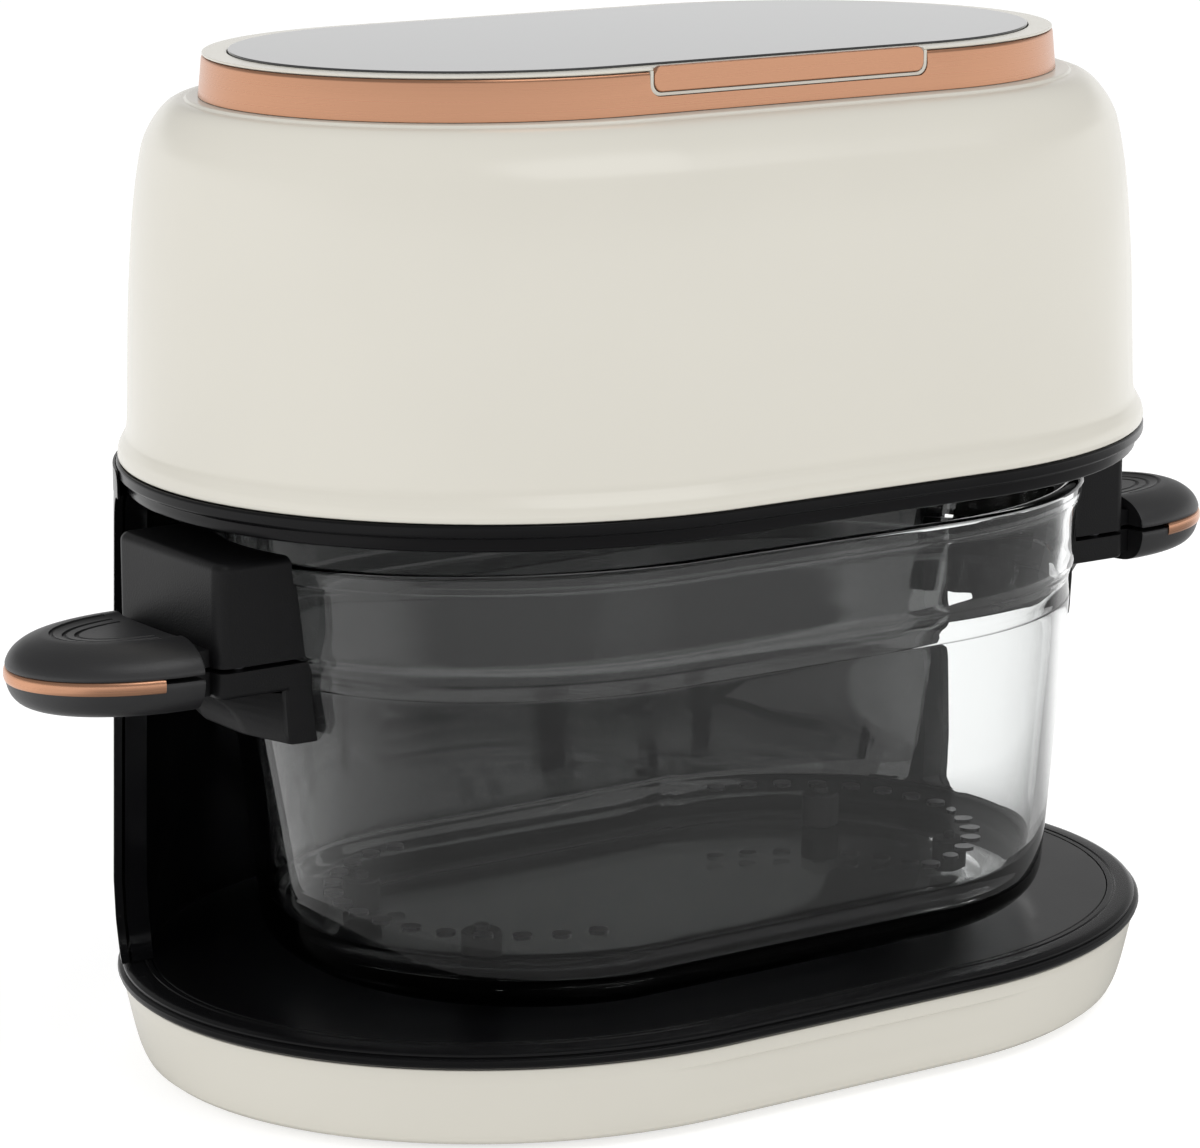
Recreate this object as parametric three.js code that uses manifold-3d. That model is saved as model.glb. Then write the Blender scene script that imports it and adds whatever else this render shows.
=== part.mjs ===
// Hot-air glass-bowl cooker: a C-shaped housing (base, rear spine, head) and a lift-out glass bowl
// with two handles and a crisper plate. Millimetres, +Z up, +X to the viewer's right, front at -Y.
import * as THREE from 'three';
import { mergeVertices } from 'three/addons/utils/BufferGeometryUtils.js';
import ManifoldModule from 'manifold-3d';

const wasm = await ManifoldModule();
wasm.setup();

// ---------------------------------------------------------------- driving dimensions
const gap = 0.3; // clearance left between neighbouring pieces
const arcSteps = 10; // facets along each rounded end

const footLift = 2; // height of the rubber feet below the base shell
const straight = 46; // half-length of the straight middle shared by base, head and bowl
const base = { s: straight, a: 125.5, b: 114.2, top: 27.3, wall: 2.6 }; // base outline, shell height
const deckTop = 33; // surface the bowl stands on
const deckThick = 2.6;
const trimDepth = 10; // width of the black border round the deck

const mouth = 144; // clear height between the deck and the underside of the head
const headTrim = {
  s: straight, a: base.a - 3.5, b: base.b - 0.7, bottom: deckTop + mouth, top: deckTop + mouth + 8.3,
};
const head = {
  s: straight, a: headTrim.a - 3, b: headTrim.b - 2.2, bottom: headTrim.top + gap,
  shoulder: headTrim.top + 107.8, wall: 2.6,
};
const crown = { // control ring
  s: straight + 11, a: head.a - 35.4, b: head.b - 34.9, y: 2, bottom: head.shoulder + 0.1,
  top: head.shoulder + 12.9, rimWidth: 7.4,
};

const spine = { front: 46, skin: 2.5, depth: 10, flare: 1, foot: deckTop + gap, top: headTrim.bottom - gap };

const bowl = { y: -9.5, bottom: deckTop + gap, rim: headTrim.bottom - 10.6, wall: 4.5, floor: 7.7 };
const bowlRim = { s: straight - 0.4, a: 102.6, b: 82.8 };
const bowlHeel = { s: straight + 6, a: 79.4, b: 80.1, z: bowl.bottom + 20.7 };
const crisper = {
  z: bowl.bottom + 19.3, thick: 1.8, play: 1.1, footX: bowlHeel.s + 36, footY: 34, footR: 6,
};

const bowlEnd = bowlRim.s + bowlRim.a;
const handle = {
  y: -3, bracketX: bowlEnd + 20.8, bracketHalf: 29.6, top: bowl.rim + 3.3, seam: bowl.rim - 27.7,
  seamGap: 1.4, bottom: bowl.rim - 36.1,
};
const grip = {
  x: handle.bracketX + 5.5, reach: 44.3, half: 31.5, top: handle.seam + 9.6, bottom: handle.seam - 11.5,
};
const lug = { x: bowlEnd + 9.8, half: 20, thick: 6.4 };

const dish = {
  s: straight + 4, a: 76, b: 70, y: -4, bottom: headTrim.bottom + 4.2, roof: headTrim.bottom + 42,
  draft: 14, skin: 0.9,
};
const fan = { r: 52, z: dish.bottom + 16.8, blade: 13, boreGap: 0.3, shaftR: 3, motorR: 30 };
const chassisZ = dish.roof + 5;
const screwR = 1.9;

// ---------------------------------------------------------------- materials
const mat = (color, roughness, metalness = 0, extra = {}) =>
  () => new THREE.MeshStandardMaterial({ color, roughness, metalness, ...extra });
const cream = mat(0xe6e2da, 0.35);
const glossBlack = mat(0x0b0b0c, 0.15);
const satinBlack = mat(0x17181a, 0.45);
const gripBlack = mat(0x222326, 0.75);
const rubber = mat(0x1c1c1c, 0.9);
const copper = mat(0xd39a78, 0.32, 1);
const clearGlass = mat(0xe8f0f0, 0.02, 0, { transparent: true, opacity: 0.3 });
const panelGlass = mat(0x0d0e10, 0.05);
const nonStick = mat(0x3a3b3d, 0.5, 0.3);
const steel = mat(0xb9bcc0, 0.3, 1);
const darkSteel = mat(0x55585c, 0.4, 1);
const board = mat(0x1f5b38, 0.6);
const whitePlastic = mat(0xd8d8d2, 0.55);

// ---------------------------------------------------------------- outlines and solids
// Racetrack outline: straight middle of half-length s, half-ellipse ends a (X) by b (Y), drawn in by inset.
function oval({ s, a, b, y = 0 }, inset = 0, n = arcSteps) {
  const pts = [];
  for (const side of [1, -1]) {
    for (let i = 0; i <= n; i++) {
      const t = -Math.PI / 2 + (Math.PI * i) / n;
      pts.push([side * (s + (a - inset) * Math.cos(t)), y + side * (b - inset) * Math.sin(t)]);
    }
  }
  return pts;
}

// The part of that outline behind y = front, from the right edge round the back to the left edge.
function backArc({ s, a, b }, inset, front, n = arcSteps) {
  const t0 = Math.asin(front / (b - inset));
  const pts = [];
  for (let i = 0; i <= n; i++) {
    const t = t0 + ((Math.PI / 2 - t0) * i) / n;
    pts.push([s + (a - inset) * Math.cos(t), (b - inset) * Math.sin(t)]);
  }
  const left = pts.map(([x, y]) => [-x, y]).reverse();
  return pts.concat(left);
}

// Half-ellipse nose standing on the line x = x0.
function nose(x0, reach, half, y, inset = 0, from = -90, to = 90, n = 12) {
  const pts = [];
  for (let i = 0; i <= n; i++) {
    const t = ((from + ((to - from) * i) / n) * Math.PI) / 180;
    pts.push([x0 + (reach - inset) * Math.cos(t), y + (half - inset) * Math.sin(t)]);
  }
  return pts;
}

// Rectangle with rounded corners, drawn counter-clockwise.
function roundRect(x0, x1, y0, y1, r, n = 3) {
  const pts = [];
  const corners = [[x1 - r, y0 + r, -90], [x1 - r, y1 - r, 0], [x0 + r, y1 - r, 90], [x0 + r, y0 + r, 180]];
  for (const [cx, cy, start] of corners) {
    for (let i = 0; i <= n; i++) {
      const t = ((start + (90 * i) / n) * Math.PI) / 180;
      pts.push([cx + r * Math.cos(t), cy + r * Math.sin(t)]);
    }
  }
  return pts;
}

const circle = (r, x = 0, y = 0, n = 16) => Array.from({ length: n }, (_, i) => {
  const t = (2 * Math.PI * i) / n;
  return [x + r * Math.cos(t), y + r * Math.sin(t)];
});

// Skin through rings of equal point count, each [outline, z]; a closed loop of rings makes a hoop.
function loft(rings, closed = false) {
  const n = rings[0][0].length;
  const pos = rings.flatMap(([ring, z]) => ring.flatMap(([x, y]) => [x, y, z]));
  const index = [];
  const last = closed ? rings.length : rings.length - 1;
  for (let k = 0; k < last; k++) {
    const lo = k * n;
    const hi = ((k + 1) % rings.length) * n;
    for (let i = 0; i < n; i++) {
      const j = (i + 1) % n;
      index.push(lo + i, lo + j, hi + j, lo + i, hi + j, hi + i);
    }
  }
  if (!closed) {
    const cap = (ring, start, flip) => {
      const outline = ring.map(([x, y]) => new THREE.Vector2(x, y));
      for (const [p, q, r] of THREE.ShapeUtils.triangulateShape(outline, [])) {
        index.push(...(flip ? [start + p, start + r, start + q] : [start + p, start + q, start + r]));
      }
    };
    cap(rings[0][0], 0, true);
    cap(rings.at(-1)[0], (rings.length - 1) * n, false);
  }
  const g = new THREE.BufferGeometry();
  g.setAttribute('position', new THREE.Float32BufferAttribute(pos, 3));
  g.setIndex(index);
  return solid(g);
}

function solid(geometry) {
  const g = geometry.clone();
  for (const name of Object.keys(g.attributes)) {
    if (name !== 'position') g.deleteAttribute(name);
  }
  const m = mergeVertices(g, 1e-4);
  const triVerts = Uint32Array.from(m.index.array);
  const vertProperties = Float32Array.from(m.attributes.position.array);
  const out = new wasm.Manifold(new wasm.Mesh({ numProp: 3, vertProperties, triVerts }));
  if (out.volume() > 0) return out;
  for (let i = 0; i < triVerts.length; i += 3) {
    [triVerts[i], triVerts[i + 1]] = [triVerts[i + 1], triVerts[i]];
  }
  return new wasm.Manifold(new wasm.Mesh({ numProp: 3, vertProperties, triVerts }));
}

const prism = (outline, z0, z1) => loft([[outline, z0], [outline, z1]]);
const rod = (r, x, y, z0, z1, n = 12) => prism(circle(r, x, y, n), z0, z1);

function block(x0, x1, y0, y1, z0, z1) {
  const g = new THREE.BoxGeometry(x1 - x0, y1 - y0, z1 - z0);
  return solid(g.translate((x0 + x1) / 2, (y0 + y1) / 2, (z0 + z1) / 2));
}

// Outline drawn in the X-Z plane and pushed through from y0 to y1.
function slab(outlineXZ, y0, y1) {
  const shape = new THREE.Shape(outlineXZ.map(([x, z]) => new THREE.Vector2(x, z)));
  const g = new THREE.ExtrudeGeometry(shape, { depth: y1 - y0, bevelEnabled: false });
  return solid(g.rotateX(Math.PI / 2).translate(0, y1, 0));
}

// Round bar following a curve.
function bar(points, r, steps, sides = 8) {
  const curve = new THREE.CatmullRomCurve3(points.map((p) => new THREE.Vector3(...p)), false, 'centripetal');
  const shape = new THREE.Shape(circle(r, 0, 0, sides).map(([x, y]) => new THREE.Vector2(x, y)));
  return solid(new THREE.ExtrudeGeometry(shape, { steps, extrudePath: curve, bevelEnabled: false }));
}

const profile = (family, steps) => steps.map(([inset, z]) => [family(inset), z]);
const mirrored = (m) => m.mirror([1, 0, 0]);

const group = new THREE.Group();
group.name = 'glass_bowl_hot_air_cooker';

function piece(name, m, material) {
  const { vertProperties, triVerts } = m.getMesh();
  const g = new THREE.BufferGeometry();
  g.setAttribute('position', new THREE.Float32BufferAttribute(vertProperties, 3));
  g.setIndex(new THREE.Uint32BufferAttribute(triVerts, 1));
  g.computeVertexNormals();
  const mesh = new THREE.Mesh(g, material());
  mesh.name = name;
  group.add(mesh);
}

// ---------------------------------------------------------------- base
const baseRing = (inset) => oval(base, inset);
const w = base.wall;
piece('base_shell', loft(profile(baseRing, [
  [12, footLift], [9.6, footLift + 0.6], [7.8, footLift + 2], [6.2, 7.5], [4.4, 14], [2.8, 21],
  [1.8, base.top], [1.8 + w, base.top], [2.8 + w, 21], [4.4 + w, 14], [6.2 + w, 8], [9 + w, 6],
  [16, 4.6], [16, footLift],
]), true), cream);

const footSpots = [
  [1, -1, 'front_right'], [-1, -1, 'front_left'], [1, 1, 'back_right'], [-1, 1, 'back_left'],
];
const footX = base.s + base.a * 0.42;
const footY = base.b * 0.6;
const footR = 9;
const footHole = footR + gap;
const plateBottom = footLift + 0.4;
const plateTop = plateBottom + 2;
let bottomPlate = prism(oval(base, 16 + gap), plateBottom, plateTop);
for (const [sx, sy] of footSpots) {
  const pad = rod(footHole, sx * footX, sy * footY, -1, plateTop + 1, 16);
  bottomPlate = bottomPlate.subtract(pad);
  const boss = rod(6, sx * footX * 0.72, sy * footY, plateTop - 1, deckTop - deckThick - gap - 0.4);
  bottomPlate = bottomPlate.add(boss);
  bottomPlate = bottomPlate.subtract(rod(screwR + gap, sx * footX * 0.72, sy * footY, -1, 60, 12));
  bottomPlate = bottomPlate.subtract(rod(4.2, sx * footX * 0.72, sy * footY, -1, 8, 16));
}
piece('bottom_plate', bottomPlate, satinBlack);
for (const [sx, sy, label] of footSpots) {
  const [x, y] = [sx * footX, sy * footY];
  const levels = [[footR - 1.4, 0], [footR, 1.2], [footR, plateTop + gap], [footR + 2.5, plateTop + gap],
    [footR + 2.5, plateTop + 1.6]];
  piece(`foot_${label}`, loft(levels.map(([r, z]) => [circle(r, x, y), z])), rubber);
}
for (const [sx, sy, label] of footSpots) {
  const [x, y] = [sx * footX * 0.72, sy * footY];
  const levels = [[3.8, 5.2], [3.8, 7.7], [screwR, 7.7], [screwR, 31]];
  piece(`base_screw_${label}`, loft(levels.map(([r, z]) => [circle(r, x, y, 12), z]))
    .subtract(rod(1.4, x, y, 5, 6.4, 6)), darkSteel);
}

let baseTrim = loft(profile(baseRing, [
  [1.6, base.top + gap], [0.4, base.top + 1.2], [0, base.top + 2.6], [0.5, base.top + 3.4],
  [1.7, base.top + 3.7], [1.3, base.top + 4.3], [2, base.top + 5.1], [3.4, deckTop], [trimDepth, deckTop],
  [trimDepth, deckTop - deckThick - gap], [trimDepth + 4, deckTop - deckThick - gap],
  [trimDepth + 4, base.top + 0.6], [4.8, base.top + gap],
]), true);
piece('base_trim', baseTrim, glossBlack);

let deck = prism(oval(base, trimDepth + gap), deckTop - deckThick, deckTop);
for (const [sx, sy] of footSpots) {
  const [x, y] = [sx * footX * 0.72, sy * footY];
  deck = deck.add(rod(5, x, y, deckTop - deckThick - 2, deckTop - deckThick + 1));
}
const bossTop = deckTop - deckThick - gap - 0.4;
for (const [sx, sy] of footSpots) {
  const [x, y] = [sx * footX * 0.72, sy * footY];
  deck = deck.subtract(rod(6.2, x, y, 20, bossTop + gap));
  deck = deck.subtract(rod(screwR + gap, x, y, 20, 31.4, 12));
}
piece('deck_plate', deck, satinBlack);

const sensorY = 58;
const underDeck = deckTop - deckThick;
const sensorCase = block(-12, 12, sensorY - 8, sensorY + 8, underDeck - 8, underDeck - gap);
const sensorPlug = block(-4, 4, sensorY + 7, sensorY + 14, underDeck - 7, underDeck - 3);
piece('bowl_sensor', sensorCase.add(sensorPlug), whitePlastic);
const sensorLead = [[0, sensorY + 14.4, 25.5], [0, 80, 25.5], [0, 98, 25.5]];

// ---------------------------------------------------------------- spine
const kneeZ = spine.foot + 18;
const atFoot = { s: base.s, a: base.a - 0.8, b: base.b - 0.6 };
const atKnee = { s: base.s, a: base.a + spine.flare, b: base.b - 0.1 };
const atTop = { s: headTrim.s, a: headTrim.a + spine.flare, b: headTrim.b };
const spineLevels = (section) => [[section(atFoot), spine.foot], [section(atKnee), kneeZ],
  [section(atTop), spine.top]];
const depth = spine.depth;
const skin = spine.skin;
const cover = (o) => backArc(o, 0, spine.front).concat(backArc(o, skin, spine.front).reverse());
const innerWall = (o) => {
  const outside = backArc(o, depth - skin, spine.front + 3);
  const lipRight = [backArc(o, skin + 0.9, spine.front)[0], backArc(o, skin + 0.9, spine.front + 3)[0]];
  const lipLeft = lipRight.map(([x, y]) => [-x, y]).reverse();
  return lipRight.concat(outside, lipLeft, backArc(o, depth, spine.front).reverse());
};
const glandZ = 52;
const glandR = 9;
const tube = (r, z, y0, y1, n = 24) => {
  const g = new THREE.CylinderGeometry(r, r, y1 - y0, n);
  return solid(g.translate(0, (y0 + y1) / 2, z));
};
const backY = (z) => atKnee.b + ((atTop.b - atKnee.b) * (z - kneeZ)) / (spine.top - kneeZ);
piece('spine_back_cover', loft(spineLevels(cover))
  .subtract(tube(glandR + gap, glandZ, 90, 130)), glossBlack);
piece('spine_inner_panel', loft(spineLevels(innerWall)), glossBlack);
const coverFace = backY(glandZ);
piece('cord_gland', tube(glandR, glandZ, coverFace - 4.4, coverFace)
  .add(tube(glandR + 2.5, glandZ, coverFace - 4.6, coverFace - skin - gap))
  .subtract(tube(4, glandZ, 90, 130, 16)), rubber);
const riserY = backY(110) - spine.skin - 2.5; // the riser lies close along the cover
piece('mains_riser', block(-12, 12, riserY - 1.6, riserY + 1.6, glandZ + 14, headTrim.bottom + 7)
  .add(block(-12, 12, 97, riserY + 1.6, headTrim.bottom + 5, headTrim.bottom + 7.6))
  .add(block(-12, 12, 97, 100, headTrim.bottom + 5, chassisZ - 1)), rubber);

// ---------------------------------------------------------------- head, outside
const trimRing = (inset) => oval(headTrim, inset);
piece('head_trim', loft(profile(trimRing, [
  [4, headTrim.bottom], [2.4, headTrim.bottom + 0.6], [2.1, headTrim.bottom + 4],
  [0.6, headTrim.bottom + 4.6], [0, headTrim.bottom + 5.4],
  [0.1, headTrim.top], [9, headTrim.top], [9, headTrim.bottom],
]), true).subtract(block(-13, 13, 90, riserY + 2.2, headTrim.bottom - 7, headTrim.bottom + 13)), glossBlack);

// The head narrows from its own outline at the rim to the crown's outline at inset 26.4.
const headRing = (off) => {
  const t = off / 26.4;
  return oval({ s: head.s + (crown.s - head.s) * t, a: head.a + (crown.a - head.a) * t,
    b: head.b + (crown.b - head.b) * t, y: crown.y * t });
};
const hw = head.wall;
const hb = head.bottom;
const hs = head.shoulder;
const cb = crown.bottom;
let headShell = loft(profile(headRing, [
  [-2, hb], [-2.4, hb + 1.6], [-1.9, hb + 4], [-0.7, hb + 6.2], [0.5, hb + 9], [0.9, hb + 15], [2, hb + 48],
  [3.3, hb + 67],
  [4.8, hs - 27], [6.9, hs - 15.5], [8.8, hs - 10.5], [11.2, hs - 6.6], [14, hs - 3.4], [16.6, hs - 1.2],
  [18.8, hs - 0.2], [20.6, hs], [23, cb - gap], [34, cb - gap],
  [34, cb - 2.7], [20, hs - 3.4], [16, hs - 5], [11.4, hs - 12], [7.4 + hw, hs - 27], [3 + hw, hb + 60],
  [0.4 + hw, hb + 12], [0.2, hb],
]), true);
for (let i = -3; i <= 3; i++) {
  const x = i * 10;
  headShell = headShell.subtract(block(x - 1.6, x + 1.6, 95, 130, head.bottom + 50.4, head.bottom + 76.4));
}
piece('head_shell', headShell, cream);

const crownRing = (inset) => oval(crown, inset);
const ct = crown.top;
const rw = crown.rimWidth;
const plateHalf = 48.5;
const plateFloor = ct - 7.4;
const crownFront = crown.y - crown.b;
const notchHalf = plateHalf + 3.2;
const frontBox = (half, z0, z1) =>
  slab(roundRect(-half, half, z0, z1 + 12, 3.5), crownFront - 6, crownFront + 1.7);
piece('copper_band', loft(profile(crownRing, [
  [-1.2, cb], [0, ct - 1], [1.4, ct - 1], [0.6, cb],
]), true).subtract(frontBox(notchHalf, plateFloor - 1.2, ct)), copper);
piece('crown_rim', loft(profile(crownRing, [
  [1.8, cb], [1.8, ct - 0.7], [0.1, ct - 0.7], [0.1, ct], [rw, ct], [rw, ct - 2.1],
  [rw + 3.6, ct - 2.1], [rw + 3.6, ct - 4.1], [4.4, ct - 4.1], [4.4, cb],
]), true).subtract(frontBox(plateHalf + gap, plateFloor - gap, ct)), cream);
piece('copper_plate', slab(roundRect(-plateHalf, plateHalf, plateFloor, ct + 0.6, 2.6),
  crownFront - 0.5, crownFront + 1.4), copper);
piece('touch_glass', prism(oval(crown, rw + gap), ct - 1.8, ct + 0.6), panelGlass);

// ---------------------------------------------------------------- head, inside
const dishRing = (inset) => oval(dish, inset);
const underpan = [[9 + gap, headTrim.bottom + 1.4], [9 + gap, headTrim.bottom + 3.6]];
piece('head_underpan', loft(profile(trimRing, underpan))
  .subtract(prism(oval(dish, 3), headTrim.bottom - 7, headTrim.bottom + 13)), satinBlack);
const dz = dish.bottom;
const dk = dish.skin;
const elementHole = (m) =>
  [-1, 1].reduce((acc, k) => acc.subtract(rod(4.4, 74, dish.y + 14 * k, dish.roof - 14, dish.roof + 11)), m);
const dishShell = loft(profile(dishRing, [
  [-7, dz], [-7, dz + dk], [0, dz + dk], [dish.draft - 5, dish.roof - 6], [dish.draft, dish.roof],
])).subtract(loft(profile(dishRing, [
  [dk, dz - 1], [dk, dz + dk], [dish.draft - 5 + dk, dish.roof - 6], [dish.draft + dk, dish.roof - dk],
])));
const shaftHole = rod(8, 0, dish.y, dish.roof - 19, dish.roof + 11);
piece('reflector_dish', elementHole(dishShell.subtract(shaftHole)), steel);

const loop = [];
const loopR = 64;
for (let i = 0; i <= 20; i++) {
  const t = (13 + (334 * i) / 20) * (Math.PI / 180);
  loop.push([loopR * Math.cos(t) * 1.15, dish.y + loopR * Math.sin(t) * 0.92, dish.bottom + 8.8]);
}
const lead = (k) => [[74, dish.y + 14 * k, dish.roof + 9], [74, dish.y + 14 * k, dish.roof - 13],
  [73.6, dish.y + 14 * k, dish.bottom + 14.8]];
const elementPath = [...lead(1), ...loop.slice(1, -1), ...lead(-1).reverse()];
piece('heating_element', bar(elementPath, 3.2, 44, 6), darkSteel);

let guard = prism(oval({ s: 34, a: 62, b: 66, y: dish.y }), dish.bottom + 1.4, dish.bottom + 2.6);
for (let k = 0; k < 12; k++) {
  const slot = block(24, 60, -4, 4, dish.bottom - 1.2, dish.bottom + 4.8).rotate([0, 0, k * 30]);
  guard = guard.subtract(slot.translate([0, dish.y, 0]));
}
piece('element_guard', guard, darkSteel);

const fy = dish.y;
let hotFan = rod(fan.r, 0, fy, fan.z, fan.z + 1.2, 24).add(rod(9, 0, fy, fan.z - 1, fan.z + 11));
for (let k = 0; k < 6; k++) {
  const blade = block(14, fan.r - 2, -0.6, 0.6, fan.z + 1, fan.z + 1 + fan.blade);
  hotFan = hotFan.add(blade.rotate([0, 0, k * 60]).translate([0, fy, 0]));
}
piece('hot_air_fan', hotFan.subtract(rod(fan.shaftR + fan.boreGap, 0, fy, fan.z - 8, fan.z + 22)), steel);
const shaftTop = chassisZ + 44;
piece('motor_shaft', rod(fan.shaftR, 0, fy, fan.z - 3, shaftTop), steel);
let coolFan = rod(8, 0, fy, shaftTop - 12, shaftTop - 2, 20);
for (let k = 0; k < 6; k++) {
  const vane = block(6, 36, -0.8, 0.8, -4, 4).rotate([22, 0, 0]).rotate([0, 0, k * 60]);
  coolFan = coolFan.add(vane.translate([0, fy, shaftTop - 7]));
}
const coolBore = rod(fan.shaftR + fan.boreGap, 0, fy, chassisZ - 24, chassisZ + 76);
piece('cooling_fan', coolFan.subtract(coolBore), whitePlastic);

let chassis = prism(oval(head, 7), chassisZ, chassisZ + 2.4);
chassis = chassis.subtract(rod(24, 0, fy, chassisZ - 24, chassisZ + 26, 32));
for (const k of [-1, 1]) chassis = chassis.subtract(rod(5.2, 74, fy + 14 * k, chassisZ - 24, chassisZ + 26));
chassis = chassis.subtract(block(-16, 16, 92, 130, chassisZ - 24, chassisZ + 26));
piece('head_chassis', chassis, satinBlack);
const mb = chassisZ + 2.4 + gap;
let motorMount = prism(roundRect(-46, 46, fy - 16, fy + 16, 6), mb, mb + 1.6)
  .subtract(rod(12, 0, fy, chassisZ - 24, chassisZ + 36));
for (const sx of [-1, 1]) {
  motorMount = motorMount.subtract(rod(2.2, sx * 40, fy, chassisZ - 24, chassisZ + 36, 12));
}
piece('motor_bracket', motorMount, steel);
piece('fan_motor', rod(fan.motorR, 0, fy, mb + 1.9, mb + 22, 32).add(rod(11, 0, fy, mb + 0.2, mb + 26))
  .subtract(rod(fan.shaftR + fan.boreGap, 0, fy, chassisZ - 24, chassisZ + 76)), darkSteel);
piece('thermal_cutout', prism(roundRect(34, 50, 20, 30, 4), dish.roof + gap, chassisZ - gap), whitePlastic);

const pcbZ = mb + 3;
const pcb = block(-122, -52, -46, 46, pcbZ, pcbZ + 1.6).add(block(-112, -84, -34, -8, pcbZ + 1, pcbZ + 22))
  .add(rod(8, -72, 26, pcbZ + 1, pcbZ + 20)).add(block(-108, -92, 8, 30, pcbZ + 1, pcbZ + 14));
piece('power_board', [[-116, -40], [-58, -40], [-116, 40], [-58, 40]].reduce(
  (m, [x, y]) => m.add(rod(3, x, y, mb, pcbZ + 1, 10)), pcb), board);
const cz = ct - 12;
piece('control_board', prism(roundRect(-84, 84, -46, 46, 8), cz, cz + 1.6)
  .add(block(-32, 32, -20, 20, cz + 1, ct - 4.6)), board);

// ---------------------------------------------------------------- glass bowl
const mix = (lo, hi, t) => lo + (hi - lo) * t;
function bowlRing(z, inset) {
  const t = (z - bowlHeel.z) / (bowl.rim - bowlHeel.z);
  const o = { s: mix(bowlHeel.s, bowlRim.s, t), a: mix(bowlHeel.a, bowlRim.a, t),
    b: mix(bowlHeel.b, bowlRim.b, t), y: bowl.y };
  return oval(o, inset);
}
const bz = bowl.bottom;
const floorZ = bz + bowl.floor;
const tw = bowl.wall;
const outside = [[bz, 16], [bz + 0.8, 11.5], [bz + 3, 6.4], [bz + 6.4, 2.4], [bz + 11, 0.2], [bz + 21, 0],
  [bowl.rim - 41.5, 0.2], [bowl.rim - 32, 1.3], [bowl.rim - 26, 0.1], [bowl.rim - 6.5, 0.4],
  [bowl.rim - 5, -0.3], [bowl.rim - 1.4, -0.3], [bowl.rim - 0.2, 1]];
const inside = [[bowl.rim - 0.2, 4.4], [bowl.rim - 1.4, 5.6], [bowl.rim - 30, tw + 0.3], [bz + 24, tw],
  [bz + 17, tw + 1.4], [bz + 12, tw + 4.6], [floorZ + 1.2, tw + 11], [floorZ, tw + 19]];
const bowlLevels = (list) => list.map(([z, inset]) => [bowlRing(z, inset), z]);
const lugPlan = (grow) =>
  roundRect(bowlEnd - 28.2, lug.x + grow, handle.y - lug.half - grow, handle.y + lug.half + grow, 7);
const lugBody = (grow) =>
  prism(lugPlan(grow), handle.seam - lug.thick / 2 - grow, handle.seam + lug.thick / 2 + grow);
const bowlFilled = loft(bowlLevels(outside));
const bowlHollow = loft(bowlLevels([[bowl.rim + 6, 4.4], ...inside]).reverse());
piece('glass_bowl', bowlFilled.add(lugBody(0)).add(mirrored(lugBody(0))).subtract(bowlHollow), clearGlass);

// Solid the size of the bowl plus the clearance, used to scribe the handle brackets to the glass.
const bowlEnvelope = loft(outside.map(([z, inset]) => [bowlRing(z, inset - 0.45), z]));

// ---------------------------------------------------------------- crisper plate
const cp = crisper;
const plateRing = bowlRing(cp.z, tw + cp.play);
let crisp = loft([[bowlRing(cp.z - 2.4, tw + cp.play + 0.9), cp.z - 2.4], [plateRing, cp.z],
  [bowlRing(cp.z, tw + cp.play + 0.3), cp.z + cp.thick]]);
const underPlate = bowlRing(cp.z, tw + cp.play + 2.6);
crisp = crisp.subtract(loft([[underPlate, cp.z - 4], [underPlate, cp.z]]));
const endHoles = (count, reach, r) => {
  for (let k = -count; k <= count; k++) {
    const t = (k * 80 * Math.PI) / 180 / count;
    const x = bowlHeel.s + reach * Math.cos(t);
    const y = bowl.y + reach * Math.sin(t);
    crisp = crisp.subtract(rod(r, x, y, 40, 70, 8)).subtract(rod(r, -x, y, 40, 70, 8));
  }
};
endHoles(7, 57, 2.9);
endHoles(5, 47, 1.7);
for (let i = -4; i <= 4; i++) {
  for (const j of [-1.5, -0.5, 0.5, 1.5]) {
    const [x, y] = [i * 11, bowl.y + j * 34];
    crisp = crisp.subtract(block(x - 4, x + 4, y - 1, y + 1, 40, 70));
  }
}
const crisperFeet = footSpots.map(([sx, sy, label]) => [sx * cp.footX, bowl.y + sy * cp.footY, label]);
for (const [x, y] of crisperFeet) crisp = crisp.subtract(rod(2.6, x, y, 40, 70, 12));
piece('crisper_plate', crisp, nonStick);
for (const [x, y, label] of crisperFeet) {
  piece(`crisper_foot_${label}`, rod(cp.footR, x, y, floorZ + gap, cp.z - gap, 16)
    .add(rod(2.3, x, y, cp.z - 1, cp.z + cp.thick, 12)), rubber);
}

// ---------------------------------------------------------------- handles
const half = handle.bracketHalf;
const up = handle.seam + handle.seamGap / 2;
const down = handle.seam - handle.seamGap / 2;
const [y0, y1] = [handle.y - half, handle.y + half];
const plan = (x1, inset = 0, r = 3.6) => roundRect(bowlEnd - 30.2, x1 - inset, y0 + inset, y1 - inset, r);
const neckX = grip.x + gap;
const neckHalf = 24; // half-width of the neck that joins bracket and grip
const screwX = handle.bracketX - 5.2;
const headSeat = handle.bottom + 2.8; // face the bracket screw heads pull up against
const screwYs = [[-1, 'front'], [1, 'back']];

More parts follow.
